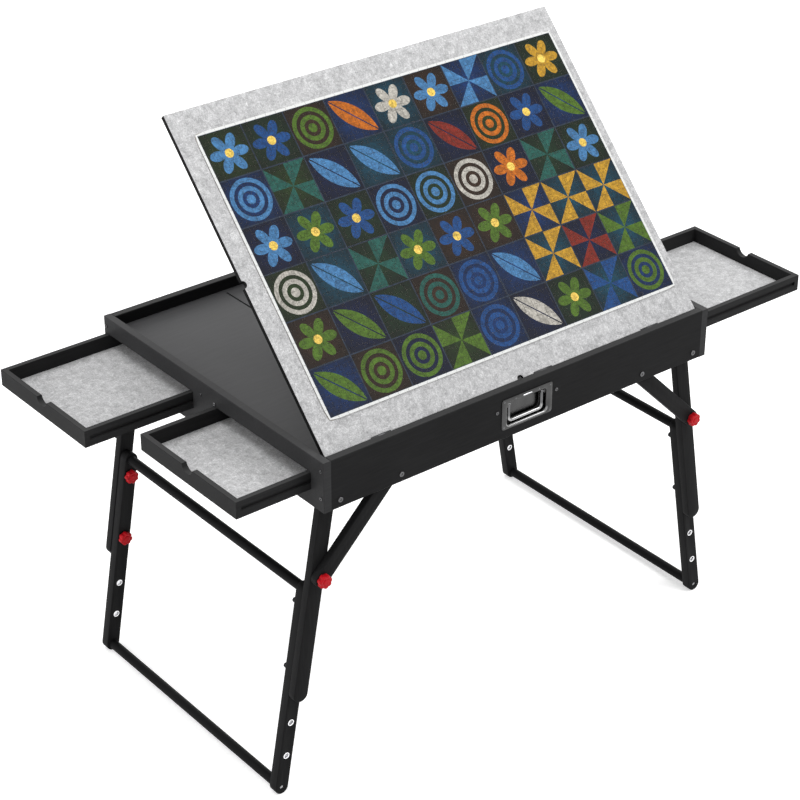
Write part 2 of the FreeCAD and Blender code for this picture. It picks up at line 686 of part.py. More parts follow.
def make_drawer(side, end):
    """A drawer tray: four walls and a bottom, grooved sides, scooped front."""
    pull = D[side_name("pull", side, end)]
    bay = front_bay if end == FRONT else back_bay
    y_low = bay + D["drawer_gap"] - half_width
    y = y_low + drawer_width / 2
    x = case_x + side * (half_length + pull)
    half_turn = 180 if side == RIGHT else 0
    where = dict(x=x, y=y, z=case_z + drawer_low, axis=(0, 0, 1), angle=half_turn)
    body = new_body(side_name("drawer", side, end), **where)
    wide, wall = drawer_width / 2, D["drawer_wall"]
    outline = new_sketch(body, "XY_Plane")
    draw_rectangle(outline, 0, -wide, D["drawer_length"], wide)
    pad(body, outline, drawer_height)
    inside = new_sketch(body, "XY_Plane", lift=drawer_height)
    draw_rectangle(inside, wall, wall - wide, D["drawer_length"] - wall, wide - wall)
    pocket(body, inside, drawer_height - D["drawer_base"])
    grooves = new_sketch(body, "YZ_Plane", lift=wall)
    groove_low = runner_low - drawer_low - D["run_gap"]
    groove_high = groove_low + D["runner_height"] + 2 * D["run_gap"]
    groove_foot = wide - D["runner_reach"] - D["groove_spare"]
    for step in (-1, 1):
        draw_rectangle(grooves, step * wide, groove_low, step * groove_foot, groove_high)
    pocket(body, grooves, D["drawer_length"] - wall, reverse=True)
    scoop = new_sketch(body, "YZ_Plane")
    lift = D["finger_radius"] - D["finger_depth"]
    draw_circle(scoop, 0, drawer_height + lift, D["finger_radius"])
    pocket(body, scoop, wall, reverse=True)
    top = drawer_height.value

    def top_edge(box, edge):
        return near(box.ZMin, top) and box.DiagonalLength > D["finger_radius"].value

    soften(body, "Chamfer", D["edge_soft"] / 2, top_edge)

    felt = new_body(side_name("drawer_felt", side, end), **where)
    cloth = new_sketch(felt, "XY_Plane", lift=D["drawer_base"])
    edge = wall + D["felt_gap"]
    draw_rectangle(cloth, edge, edge - wide, D["drawer_length"] - edge, wide - edge)
    pad(felt, cloth, D["felt_wall"])


# ---------------------------------------------------------------- legs and braces

def leg_place(side, end, layer):
    """Pivot frame of a leg: Z runs up the leg, Y as in the table, at the layer's outer face."""
    y = end * (half_width - layer)
    x = case_x + side * (half_length - pivot_inset)
    return dict(x=x, y=y, z=pivot_z, axis=(0, -side, 0), angle=D["leg_splay"])


def make_upper_leg(side, end):
    """The upper leg: half-round ends, a pivot bore and blind sockets for the knobs."""
    label = side_name("upper_leg", side, end)
    body = new_body(label, **leg_place(side, end, upper_layer))
    radius = D["leg_width"] / 2
    outline = new_sketch(body, "XZ_Plane")
    draw_bar(outline, 0, radius - upper_reach, radius)
    pad(body, outline, D["leg_depth"], reverse=end == FRONT)
    bore = new_sketch(body, "XZ_Plane")
    draw_circle(bore, 0, 0, D["bolt_radius"] + D["bolt_gap"])
    pocket(body, bore, D["leg_depth"], reverse=end == BACK)
    outer = new_sketch(body, "XZ_Plane")
    draw_prism(outer, 0, -D["brace_hold"], D["hole_radius"], HEX)
    pocket(body, outer, D["insert_depth"], reverse=end == BACK)
    inner = new_sketch(body, "XZ_Plane", lift=end * D["leg_depth"])
    for along in (D["knob_high"], D["knob_low"]):
        draw_prism(inner, 0, -along, D["hole_radius"], HEX)
    pocket(body, inner, D["insert_depth"], reverse=end == FRONT)


def make_lower_leg(side, end):
    """The telescoping lower leg: half-round ends and a row of knob holes."""
    label = side_name("lower_leg", side, end)
    body = new_body(label, **leg_place(side, end, lower_layer))
    outline = new_sketch(body, "XZ_Plane")
    draw_bar(outline, -D["lower_start"], -foot_along, D["lower_width"] / 2)
    pad(body, outline, D["lower_depth"], reverse=end == FRONT)
    holes = new_sketch(body, "XZ_Plane")
    for along in (D["knob_high"], D["knob_low"], D["hole_high"], D["hole_low"]):
        draw_prism(holes, 0, -along, D["hole_radius"], ROUND)
    for along in (D["lower_start"], foot_along):
        draw_prism(holes, 0, -along, D["screw_radius"], HEX)
    pocket(body, holes, D["lower_depth"], reverse=end == BACK)
    heads = new_sketch(body, "XZ_Plane")
    for along in (D["lower_start"], foot_along):
        draw_prism(heads, 0, -along, D["screw_head"], ROUND)
    pocket(body, heads, 2 * D["head_height"], reverse=end == BACK)


def make_crossbar(side, level):
    """A round bar between the two lower legs of one end, with a screw hole in each end."""
    along = D["lower_start"] if level == "upper" else foot_along
    body = new_body(side_name(level + "_crossbar", side), **leg_place(side, FRONT, crossbar_layer))
    span = 2 * (half_width - crossbar_layer)
    sketch = new_sketch(body, "XZ_Plane")
    draw_circle(sketch, 0, -along, D["crossbar_radius"])
    pad(body, sketch, span, reverse=True)
    for end, lift in ((FRONT, size(0)), (BACK, -span)):
        hole = new_sketch(body, "XZ_Plane", lift=lift)
        draw_prism(hole, 0, -along, D["screw_radius"], HEX)
        pocket(body, hole, D["screw_bite"], reverse=end == BACK)


leg_hold_x = pivot_inset - D["brace_hold"] * splay_sin
leg_hold_z = D["pivot_height"] - D["brace_hold"] * splay_cos
brace_across = D["brace_inset"] - leg_hold_x
brace_down = D["pivot_height"] - leg_hold_z
brace_length = length_of(brace_across, brace_down)
brace_angle = arctangent(brace_across / brace_down)


def make_brace(side, end):
    """A diagonal brace: half-round ends, a pivot bore and the knob's hole."""
    body = new_body(
        side_name("brace", side, end),
        x=case_x + side * (half_length - D["brace_inset"]),
        y=end * (half_width - brace_layer), z=pivot_z, axis=(0, -side, 0), angle=brace_angle)
    outline = new_sketch(body, "XZ_Plane")
    draw_bar(outline, 0, -brace_length, D["leg_width"] / 2)
    pad(body, outline, D["brace_depth"], reverse=end == FRONT)
    holes = new_sketch(body, "XZ_Plane")
    draw_circle(holes, 0, 0, D["bolt_radius"] + D["bolt_gap"])
    draw_prism(holes, 0, -brace_length, D["hole_radius"], ROUND)
    pocket(body, holes, D["brace_depth"], reverse=end == BACK)


def lobe_corners():
    """The outline of a knob: a crest and a hollow for every lobe."""
    pitch = 360 / D["lobe_count"]
    crest, hollow = D["crest_share"] / 2, D["hollow_share"] / 2
    low = D["knob_radius"] - D["lobe_bite"]
    corners = []
    for number in range(int(D["lobe_count"].value)):
        for radius, turn in ((D["knob_radius"], number - crest), (D["knob_radius"], number + crest),
                             (low, number + 0.5 - hollow), (low, number + 0.5 + hollow)):
            angle = turn * pitch
            corners.append((radius * cosine(angle), radius * sine(angle)))
    return corners


def make_knob(label, x, y, z, facing, reach, slim=False):
    """A lobed knob, or a slim nut, on a stud; facing is the way its cap looks along Y."""
    lift = facing * D["layer_gap"]
    body = new_body(label, x=x, y=y + lift, z=z)
    cap = new_sketch(body, "XZ_Plane")
    if slim:
        draw_prism(cap, 0, 0, D["nut_radius"], ROUND)
    else:
        draw_polygon(cap, lobe_corners())
    thick = D["nut_long"] if slim else D["knob_thick"]
    pad(body, cap, thick, reverse=facing == 1)
    face_y = facing * thick.value

    def cap_edge(box, edge):
        return near(box.YMin, face_y) and near(box.YMax, face_y)

    soften(body, "Chamfer", D["knob_soft"], cap_edge)
    stud = new_sketch(body, "XZ_Plane")
    draw_circle(stud, 0, 0, D["hole_radius"] - D["stud_gap"])
    pad(body, stud, reach + D["layer_gap"], reverse=facing == -1)


def make_height_knobs(side, end):
    """Two locks on a leg's inner face: hand knobs at the back, barrel nuts in front."""
    y = end * (half_width - crossbar_layer)
    for name, along in (("high", D["knob_high"]), ("low", D["knob_low"])):
        x = case_x + side * (half_length - pivot_inset + along * splay_sin)
        z = pivot_z - along * splay_cos
        label = side_name(f"height_knob_{name}", side, end)
        make_knob(label, x, y, z, -end, D["lower_depth"], slim=end == FRONT)


def make_brace_knob(side, end):
    """The knob on the outer face of a brace; its stud reaches the leg's face."""
    x = case_x + side * (half_length - leg_hold_x)
    y = end * (half_width - brace_layer)
    z = case_z + leg_hold_z
    make_knob(side_name("brace_knob", side, end), x, y, z, end, D["brace_depth"])


# ---------------------------------------------------------------- board and prop

BOARD_TURN = (1, 0, 0)


def cut_board_notches(body, level, depth):
    """Finger notches at the middle of each edge, and clearance for the hinge knuckles."""
    notches = new_sketch(body, "XY_Plane", lift=level)
    for x, y in ((-board_width / 2, board_depth / 2), (board_width / 2, board_depth / 2),
                 (0, 0), (0, board_depth)):
        draw_prism(notches, x, y, D["thumb_radius"], ROUND)
    pocket(body, notches, depth)
    knuckles = new_sketch(body, "XY_Plane", lift=level)
    relief = D["hinge_radius"] + D["hinge_clear"]
    half = D["hinge_width"] / 2 + D["hinge_clear"]
    for middle in hinge_places():
        draw_rectangle(knuckles, middle - half, -relief, middle + half, relief)
    pocket(body, knuckles, depth)


def hinge_places():
    """Middles of the board hinges along X."""
    return (-D["hinge_spread"], D["hinge_shift"], D["hinge_spread"])


def make_board():
    """The work board, its felt face and the jigsaw that lies on it."""
    for label, level, thick in (("puzzle_board", -D["felt_wall"], D["board_wall"]),
                                ("board_felt", size(0), D["felt_wall"])):
        body = new_body(label, x=case_x, y=hinge_y, z=hinge_z,
                        axis=BOARD_TURN, angle=D["board_tilt"])
        outline = new_sketch(body, "XY_Plane", lift=level)
        draw_rectangle(outline, -board_width / 2, 0, board_width / 2, board_depth)
        pad(body, outline, thick, reverse=True)
        cut_board_notches(body, level, thick)
    picture = new_body("jigsaw_picture", x=case_x, y=hinge_y, z=hinge_z,
                       axis=BOARD_TURN, angle=D["board_tilt"])
    sketch = new_sketch(picture, "XY_Plane")
    x, y = D["puzzle_shift"] - D["puzzle_width"] / 2, D["puzzle_margin"]
    draw_rectangle(sketch, x, y, x + D["puzzle_width"], y + D["puzzle_depth"])
    pad(picture, sketch, D["puzzle_wall"])

    def corner(box, edge):
        return box.ZLength > D["puzzle_wall"].value / 2

    soften(picture, "Fillet", D["puzzle_corner"], corner)


KNUCKLES = 3


def knuckle_spans():
    """The knuckles of a hinge along X, as (start, end, carried by the board)."""
    segment = D["hinge_width"].value / KNUCKLES
    clear = D["hinge_clear"].value / 2
    spans = []
    for number in range(KNUCKLES):
        start = number * segment - D["hinge_width"].value / 2
        spans.append((start + clear, start + segment - clear, number % 2 == 1))
    return spans


def prism(radius, sides, spot, along, up):
    """A regular prism from the spot, with its corners on the radius."""
    across = along.cross(up).normalize() * radius
    rise = Vector(up).normalize() * radius
    corners = [spot + across * math.cos(angle) + rise * math.sin(angle)
               for angle in corner_angles(sides)]
    return Part.Face(Part.makePolygon(corners + corners[:1])).extrude(along)


def barrel(radius, start, end):
    """A knuckle about the hinge pin, the X axis."""
    return prism(radius, ROUND, Vector(start, 0, 0), Vector(end - start, 0, 0), Vector(0, 0, 1))


def hinge_pin(radius, start, end):
    return Part.makeCylinder(radius, end - start, Vector(start, 0, 0), Vector(1, 0, 0))


def frame_leaf():
    """Leaf on the rim's inner face, its outer knuckles and the pin, which is the X axis."""
    radius, leaf = D["hinge_radius"].value, D["hinge_leaf"].value
    half, reach = D["hinge_width"].value / 2, D["hinge_reach"].value
    wall_y = -radius - D["hinge_clear"].value
    top = -radius - 2 * D["hinge_clear"].value
    shape = Part.makeBox(2 * half, leaf, reach + top, Vector(-half, wall_y, -reach))
    root = D["hinge_radius"].value
    for start, end, on_board in knuckle_spans():
        if on_board:
            shape = shape.fuse(hinge_pin(D["pin_radius"].value, start - root, end + root))
        else:
            finger = Part.makeBox(end - start, leaf, -top, Vector(start, wall_y, top))
            shape = shape.fuse([finger, barrel(radius, start, end)])
    return shape.removeSplitter()


def board_leaf():
    """Leaf under the board with a web up to its middle knuckle, in the board's frame."""
    radius, leaf = D["hinge_radius"].value, D["hinge_leaf"].value
    half, reach = D["hinge_width"].value / 2, D["hinge_reach"].value
    under = board_under.value
    shape = Part.makeBox(2 * half, reach + leaf, leaf, Vector(-half, -leaf, -under - leaf))
    bore = D["pin_radius"].value + D["pin_gap"].value
    for start, end, on_board in knuckle_spans():
        if on_board:
            web = Part.makeBox(end - start, leaf, under, Vector(start, -leaf, -under))
            shape = shape.fuse([web, barrel(radius, start, end)])
    return shape.cut(hinge_pin(bore, -half, half)).removeSplitter()


def make_hinges():
    """Three hinges: the leaves on the rim in one node, the leaves on the board in another."""
    spot = Vector(case_x.value, hinge_y.value, hinge_z.value)
    flat = FreeCAD.Placement(spot, Rotation())
    tilted = FreeCAD.Placement(spot, Rotation(Vector(1, 0, 0), D["board_tilt"].value))
    for label, leaf, seat in (("hinge_frame_leaves", frame_leaf(), flat),
                              ("hinge_board_leaves", board_leaf(), tilted)):
        copies = [leaf.translated(Vector(middle.value, 0, 0)) for middle in hinge_places()]
        add_group(label, copies, seat)


def add_group(label, solids, seat=None):
    """Several separate solids that share one node."""
    thing = doc.addObject("Part::Feature", label)
    thing.Label = label
    thing.Shape = Part.makeCompound(solids)
    if seat is not None:
        thing.Placement = seat
    return thing


def bracket_places():
    """Middles of the prop brackets along X, inboard of the prop arms."""
    inset = D["prop_strap"] / 2 + D["bracket_thick"] / 2 + D["layer_gap"]
    return [side * (D["prop_spread"] / 2 - inset) for side in (LEFT, RIGHT)]


def make_prop_brackets():
    """Two saddle blocks under the board that carry the prop's pivot rod."""
    rod = D["prop_rod"].value
    drop, under = D["prop_drop"].value, board_under.value
    lip = rod + D["bracket_wall"].value
    blocks = []
    for middle in bracket_places():
        start = middle.value - D["bracket_thick"].value / 2
        foot = D["prop_seat"].value
        outline = [(foot - 2 * lip, -under), (foot - lip, -drop), (foot + lip, -drop),
                   (foot + 2 * lip, -under)]
        wire = Part.makePolygon([Vector(start, y, z) for y, z in outline + outline[:1]])
        thick = D["bracket_thick"].value
        block = Part.Face(wire).extrude(Vector(thick, 0, 0))
        centre = Vector(start, foot, -drop)
        nose = Part.makeCylinder(lip, thick, centre, Vector(1, 0, 0))
        bore = Part.makeCylinder(rod + D["bracket_gap"].value, thick, centre, Vector(1, 0, 0))
        blocks.append(block.fuse(nose).cut(bore).removeSplitter())
    seat = FreeCAD.Placement(Vector(case_x.value, hinge_y.value, hinge_z.value),
                             Rotation(Vector(1, 0, 0), D["board_tilt"].value))
    add_group("prop_brackets", blocks, seat)


def make_prop_frame():
    """The prop: a pivot rod, two flat arms with round feet and a stiffening rod."""
    body = new_body("prop_frame", x=case_x, y=prop_y, z=prop_z,
                    axis=(-1, 0, 0), angle=prop_lean)
    half = D["prop_spread"] / 2 + D["prop_strap"] / 2
    rod = new_sketch(body, "YZ_Plane", lift=-half)
    draw_circle(rod, 0, 0, D["prop_rod"])
    pad(body, rod, 2 * half)
    for side in (LEFT, RIGHT):
        lift = side * D["prop_spread"] / 2 - D["prop_strap"] / 2
        arm = new_sketch(body, "YZ_Plane", lift=lift)
        draw_arm(arm)
        pad(body, arm, D["prop_strap"])
    stiffener = new_sketch(body, "YZ_Plane", lift=-half)
    draw_prism(stiffener, D["prop_cross"], 0, D["prop_cross_rod"], ROUND)
    pad(body, stiffener, 2 * half)


def draw_arm(sketch):
    """A flat arm along the sketch's X axis with half-round ends at pivot and foot."""
    radius, reach = D["prop_foot"], D["prop_length"]
    z_axis, up = Vector(0, 0, 1), Vector(0, radius.value, 0)
    near_end, far_end = Vector(0, 0, 0), Vector(reach.value, 0, 0)
    quarter = math.pi / 2
    heel = sketch.addGeometry(
        Part.ArcOfCircle(Part.Circle(near_end, z_axis, radius.value), quarter, 3 * quarter))
    lower = sketch.addGeometry(Part.LineSegment(near_end - up, far_end - up))
    foot = sketch.addGeometry(
        Part.ArcOfCircle(Part.Circle(far_end, z_axis, radius.value), -quarter, quarter))
    upper = sketch.addGeometry(Part.LineSegment(far_end + up, near_end + up))
    ring = [heel, lower, foot, upper]
    for piece, following in zip(ring, ring[1:] + ring[:1]):
        sketch.addConstraint(Sketcher.Constraint("Tangent", piece, 2, following, 1))
    pin(sketch, heel, 3, 0, 0)
    pin(sketch, foot, 3, reach, 0)
    bind_radius(sketch, heel, radius)


# ---------------------------------------------------------------- handle

dish_middle = -D["dish_sink"]
bail_z = dish_middle + D["bail_rise"]
bail_half = D["bail_width"] / 2
bail_side = bail_half + D["bail_radius"]


def make_handle_plate():
    """The flush handle: flange, pressed dish, bosses for the bail, rivets and a bead."""
    body = new_body("handle_plate", x=case_x, y=-half_width, z=case_z + D["box_height"] / 2)
    flange = new_sketch(body, "XZ_Plane")
    draw_rounded_rectangle(flange, D["handle_width"], D["handle_height"], D["plate_corner"])
    pad(body, flange, D["plate_wall"])
    dish = new_sketch(body, "XZ_Plane")
    draw_rounded_rectangle(dish, D["dish_width"], D["dish_height"], D["dish_corner"],
                           middle=dish_middle)
    pad(body, dish, D["dish_depth"], reverse=True, draft=D["dish_draft"])
    hollow = new_sketch(body, "XZ_Plane", lift=D["plate_wall"])
    wall = D["dish_wall"]
    draw_rounded_rectangle(hollow, D["dish_width"] - 2 * wall, D["dish_height"] - 2 * wall,
                           D["dish_corner"] - wall, middle=dish_middle)
    pocket(body, hollow, D["dish_depth"] + D["plate_wall"] - wall, draft=D["dish_draft"])
    face_y = -D["plate_wall"].value
    lip_x = (D["dish_width"] / 2).value

    def lip_edge(box, edge):
        on_face = near(box.YMin, face_y) and near(box.YMax, face_y)
        return on_face and max(-box.XMin, box.XMax) < lip_x

    soften(body, "Chamfer", D["dish_lip"], lip_edge)
    add_bail_bosses(body)
    add_plate_heads(body)


def add_bail_bosses(body):
    """A boss in each side of the dish, bored for the bail's end pins."""
    bosses = new_sketch(body, "XZ_Plane", lift=D["dish_wall"] - D["dish_depth"])
    half = D["bail_pin"] + D["boss_wall"]
    inner, outer = bail_side + D["bail_gap"], D["dish_width"] / 2 - D["dish_wall"]
    for side in (LEFT, RIGHT):
        draw_rectangle(bosses, side * inner, bail_z - half, side * outer, bail_z + half)
    pad(body, bosses, D["dish_depth"] - D["dish_wall"] - D["bail_depth"] + half)
    bores = new_sketch(body, "YZ_Plane", lift=-D["dish_width"] / 2)
    draw_circle(bores, D["bail_depth"], bail_z, D["bail_pin"] + D["stud_gap"])
    pocket(body, bores, D["dish_width"], reverse=True)


def add_plate_heads(body):
    """Rivet heads in the corners and over the dish, and a raised bead between them."""
    rivets = new_sketch(body, "XZ_Plane", lift=D["plate_wall"])
    corner_x = D["handle_width"] / 2 - D["plate_corner"]
    corner_z = D["handle_height"] / 2 - D["plate_corner"]
    for side in (LEFT, RIGHT):
        for z in (-corner_z, corner_z):
            draw_prism(rivets, side * corner_x, z, D["rivet_radius"], ROUND)
        draw_prism(rivets, side * D["rivet_spread"] / 2, corner_z, D["rivet_radius"], ROUND)
    pad(body, rivets, D["rivet_rise"])
    bead = new_sketch(body, "YZ_Plane", lift=-D["bead_width"] / 2)
    draw_half_disc(bead, -D["plate_wall"], corner_z, D["bead_radius"])
    pad(body, bead, D["bead_width"])


def make_handle_bail():
    """The bail: one bent rod whose arms end in eyes with a pin in either boss."""
    body = new_body("handle_bail", x=case_x, y=-half_width + D["bail_depth"],
                    z=case_z + D["box_height"] / 2 + bail_z)
    path = new_sketch(body, "XZ_Plane")
    draw_bail_path(path, bail_half, D["bail_drop"], D["bail_bend"])
    ring = new_sketch(body, "XY_Plane")
    draw_prism(ring, -bail_half, 0, D["bail_radius"] * flat_share, ROUND)
    pipe = body.newObject("PartDesign::AdditivePipe", "bail_rod")
    pipe.Profile = ring
    pipe.Spine = path
    pin_length = D["dish_width"] / 2 - bail_side - D["dish_wall"] / 2
    for side in (LEFT, RIGHT):
        eye = new_sketch(body, "YZ_Plane", lift=side * bail_side)
        draw_prism(eye, 0, 0, D["bail_radius"] * flat_share, ROUND)
        pad(body, eye, 2 * D["bail_radius"], reverse=side == RIGHT)
        end_pin = new_sketch(body, "YZ_Plane", lift=side * bail_side)
        draw_circle(end_pin, 0, 0, D["bail_pin"])
        pad(body, end_pin, pin_length, reverse=side == LEFT)


def draw_bail_path(sketch, half, drop, bend):
    """Down one arm, round a bend, along the bar, round the other bend and up."""
    x, low, turn = half.value, drop.value, bend.value
    z_axis = Vector(0, 0, 1)
    down = sketch.addGeometry(Part.LineSegment(Vector(-x, 0, 0), Vector(-x, turn - low, 0)))
    first = sketch.addGeometry(Part.ArcOfCircle(
        Part.Circle(Vector(turn - x, turn - low, 0), z_axis, turn), math.pi, 1.5 * math.pi))
    bar = sketch.addGeometry(Part.LineSegment(Vector(turn - x, -low, 0), Vector(x - turn, -low, 0)))
    second = sketch.addGeometry(Part.ArcOfCircle(
        Part.Circle(Vector(x - turn, turn - low, 0), z_axis, turn), 1.5 * math.pi, 2 * math.pi))
    up = sketch.addGeometry(Part.LineSegment(Vector(x, turn - low, 0), Vector(x, 0, 0)))
    chain = [down, first, bar, second, up]
    for piece, following in zip(chain, chain[1:]):
        sketch.addConstraint(Sketcher.Constraint("Tangent", piece, 2, following, 1))
    pin(sketch, down, 1, -half, 0)
    pin(sketch, first, 3, bend - half, bend - drop)
    pin(sketch, second, 3, half - bend, bend - drop)
    pin(sketch, up, 2, half, 0)


# ---------------------------------------------------------------- bolts and screws

def fastener(profile, spot, direction, up=Vector(0, 0, 1)):
    """A solid from (sides, radius to the flats, start, end) steps along the direction."""
    shapes = []
    for sides, radius, start, end in profile:
        base = spot + direction * start
        if sides is None:
            shapes.append(Part.makeCylinder(radius, end - start, base, direction))
            continue
        corner = radius / math.cos(math.pi / sides)
        shapes.append(prism(corner, sides, base, direction * (end - start), up))
    solid = shapes[0]
    for shape in shapes[1:]:
        solid = solid.fuse(shape)
    return solid.removeSplitter()


def make_frame_screws():
    """The wood screws that hold walls, tray floor and cross beams together."""
    head, shank = D["screw_head"].value, D["screw_radius"].value
    height = D["head_height"].value
    reach = (D["panel_wall"] + D["screw_bite"]).value
    profile = [(ROUND, head, -height, 0), (HEX, shank, 0, reach)]
    screws = []
    for side in (LEFT, RIGHT):
        face = (case_x + side * half_length).value
        for y, z in end_screw_places():
            spot = Vector(face, (y - half_width).value, (case_z + z).value)
            screws.append(fastener(profile, spot, Vector(-side, 0, 0)))
        for end in (FRONT, BACK):
            spot = Vector((case_x + side * beam_middle).value, end * half_width.value,
                          (case_z + beam_screw_z).value)
            screws.append(fastener(profile, spot, Vector(0, -end, 0)))
    add_group("frame_screws", screws)


def make_pivot_bolts():
    """Bolts with a hexagonal neck in the wall; the leg bolts have a collar behind it."""
    head, shank = D["bolt_head"].value, D["bolt_radius"].value
    height, wall = D["head_height"].value, D["panel_wall"].value
    collar_end = (upper_layer - D["layer_gap"]).value
    leg_end = (upper_layer + D["leg_depth"]).value
    brace_end = (brace_layer + D["brace_depth"]).value
    neck = [(ROUND, head, -height, 0), (HEX, shank, 0, wall)]
    collar = (HEX, D["collar_radius"].value, wall, collar_end)
    leg_bolt = neck + [collar, (None, shank, collar_end, leg_end)]
    brace_bolt = neck + [(None, shank, wall, brace_end)]
    bolts = []
    for side in (LEFT, RIGHT):
        for end in (FRONT, BACK):
            for inset, profile in ((pivot_inset, leg_bolt), (D["brace_inset"], brace_bolt)):
                spot = Vector((case_x + side * (half_length - inset)).value,
                              end * half_width.value, pivot_z.value)
                bolts.append(fastener(profile, spot, Vector(0, -end, 0)))
    add_group("pivot_bolts", bolts)


def make_leg_screws(side):
    """The sunk screws that hold the crossbars of one end between its lower legs."""
    head, shank = D["screw_head"].value, D["screw_radius"].value
    height = D["head_height"].value
    reach = (D["lower_depth"] + D["screw_bite"]).value
    profile = [(ROUND, head, height, 2 * height), (HEX, shank, 2 * height, reach)]
    up = Vector(-side * splay_sin.value, 0, splay_cos.value)
    screws = []
    for end in (FRONT, BACK):
        for along in (D["lower_start"], foot_along):
            x = case_x + side * (half_length - pivot_inset + along * splay_sin)
            spot = Vector(x.value, end * (half_width - lower_layer).value,
                          (pivot_z - along * splay_cos).value)
            screws.append(fastener(profile, spot, Vector(0, -end, 0), up))
    add_group(side_name("leg_screws", side), screws)


# ---------------------------------------------------------------- build and write

make_front_panel()
make_back_panel()
make_tray_floor()
for side in (LEFT, RIGHT):
    make_end_panel(side)
    make_cross_beam(side)
    make_front_rail(side)
    make_divider(side)
    make_leg_screws(side)
    for level in ("upper", "lower"):
        make_crossbar(side, level)
    for end in (FRONT, BACK):
        make_drawer(side, end)
        make_upper_leg(side, end)
        make_lower_leg(side, end)
        make_brace(side, end)
        make_height_knobs(side, end)
        make_brace_knob(side, end)
make_board()
make_hinges()
make_prop_brackets()
make_prop_frame()
make_handle_plate()
make_handle_bail()
make_frame_screws()
make_pivot_bolts()

doc.recompute()

faults = [f"{thing.Label}: {thing.State}" for thing in doc.Objects
          if "Invalid" in thing.State or "Error" in thing.State]
for thing in doc.Objects:
    if thing.TypeId == "PartDesign::Pocket":
        if thing.Shape.Volume >= thing.BaseFeature.Shape.Volume:
            faults.append(f"{thing.Label}: cuts nothing")
nodes = [thing for thing in doc.Objects
         if thing.TypeId in ("PartDesign::Body", "Part::Feature")]
for node in nodes:
    if node.Shape.isNull() or not node.Shape.isValid():
        faults.append(f"{node.Label}: no valid shape")
if faults:
    raise SystemExit("\n".join(faults))

os.makedirs("parts", exist_ok=True)
for node in nodes:
    node.Shape.exportStep(os.path.join("parts", node.Label + ".step"))
print(len(nodes), "nodes written")
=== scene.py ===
"""Looks of the jigsaw puzzle table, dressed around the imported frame. Sizes are in millimetres."""
import math
import random

import bmesh
import bpy
from mathutils import Matrix, Vector, noise


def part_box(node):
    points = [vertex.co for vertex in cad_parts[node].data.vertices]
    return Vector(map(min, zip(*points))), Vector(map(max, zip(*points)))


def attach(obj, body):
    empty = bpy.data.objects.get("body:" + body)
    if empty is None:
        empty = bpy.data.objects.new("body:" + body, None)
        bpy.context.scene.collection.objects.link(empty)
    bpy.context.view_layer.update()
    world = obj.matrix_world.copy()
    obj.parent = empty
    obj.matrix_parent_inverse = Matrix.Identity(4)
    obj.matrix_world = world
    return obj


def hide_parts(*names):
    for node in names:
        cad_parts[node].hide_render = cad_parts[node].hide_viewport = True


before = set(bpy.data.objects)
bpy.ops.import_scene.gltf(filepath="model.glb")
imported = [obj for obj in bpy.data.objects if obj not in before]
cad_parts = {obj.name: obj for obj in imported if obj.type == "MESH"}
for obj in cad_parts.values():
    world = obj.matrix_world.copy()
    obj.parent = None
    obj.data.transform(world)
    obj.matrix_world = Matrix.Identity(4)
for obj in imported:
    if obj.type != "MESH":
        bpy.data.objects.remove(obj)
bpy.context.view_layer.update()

MM = 0.001
LEFT, RIGHT, FRONT, BACK = -1, 1, -1, 1
SIDES = {LEFT: "left", RIGHT: "right"}
ENDS = {FRONT: "front", BACK: "back"}
CORNERS = [(side, end) for side in SIDES for end in ENDS]

# ---------- sizes of the table
CASE_X, CASE_Z = -31.0, 565.992
HALF_LENGTH, HALF_WIDTH, BOX_HEIGHT, WALL = 430.0, 325.0, 94.0, 15.0
SPLAY = math.radians(10)
PIVOT_INSET, PIVOT_Z = 32.669, 580.992
LEG_WIDTH, LEG_DEPTH, LOWER_WIDTH, LOWER_DEPTH = 29.0, 16.0, 26.5, 19.0
BRACE_DEPTH, LAYER = 14.0, 0.3
UPPER_REACH, LOWER_START, FOOT_ALONG = 396.83, 193.0, 576.5
KNOB_HIGH, KNOB_LOW, HOLE_HIGH, HOLE_LOW, HOLE_RADIUS = 224.0, 350.0, 446.0, 512.0, 4.3
BRACE_INSET, BRACE_HOLD, BRACE_LAYER = 158.5, 155.0, 15.3
UPPER_LAYER = BRACE_LAYER + BRACE_DEPTH + LAYER
LOWER_LAYER = UPPER_LAYER + LEG_DEPTH + LAYER
CROSSBAR_LAYER = LOWER_LAYER + LOWER_DEPTH
KNOB_RADIUS, KNOB_THICK, LOBES = 12.8, 11.0, 7
NUT_RADIUS, NUT_LONG, NUT_RIBS = 4.8, 16.0, 24
BUSHING_RADIUS, BUSHING_BORE, BUSHING_RISE = 6.3, 4.3, 0.2
HEAD_RADIUS, HEAD_DEPTH = 3.5, 3.6
HINGE_Y, HINGE_Z, TILT = -308.0, 657.992, math.radians(46.5)
BOARD_HALF, BOARD_DEPTH, BOARD_WALL, FELT = 413.5, 616.5, 5.0, 1.2
STRIP_WIDE, STRIP_THICK = 10.0, 4.0
NOTCH_RADIUS = 6.5
HINGES, HINGE_HALF, HINGE_RELIEF = (-300.0, 50.0, 300.0), 20.2, 2.0
WOOD_ROUND, PIVOT_BORE = 1.4, 3.06
THREAD_PITCH, THREAD_DEPTH = 1.5, 0.5
SCREW_HEAD, HEAD_RISE, RECESS_DEPTH, SCREW_SHANK, SCREW_TIP = 3.4, 1.8, 1.1, 2.0, 0.4
CORNER_SCREW_INSET, CORNER_SCREW_HEIGHTS = 7.5, (25.0, 76.0)
FLOOR_SCREW_OFF, FLOOR_SCREW_HEIGHT = 20.5, 67.0
BEAM_INSET, BEAM_SCREW_HEIGHT = 363.5, 56.0
BOLT_RADIUS, BOLT_TIP, BOLT_HEAD, COLLAR_RADIUS, COLLAR_END = 3.0, 2.2, 5.0, 8.0, 29.3
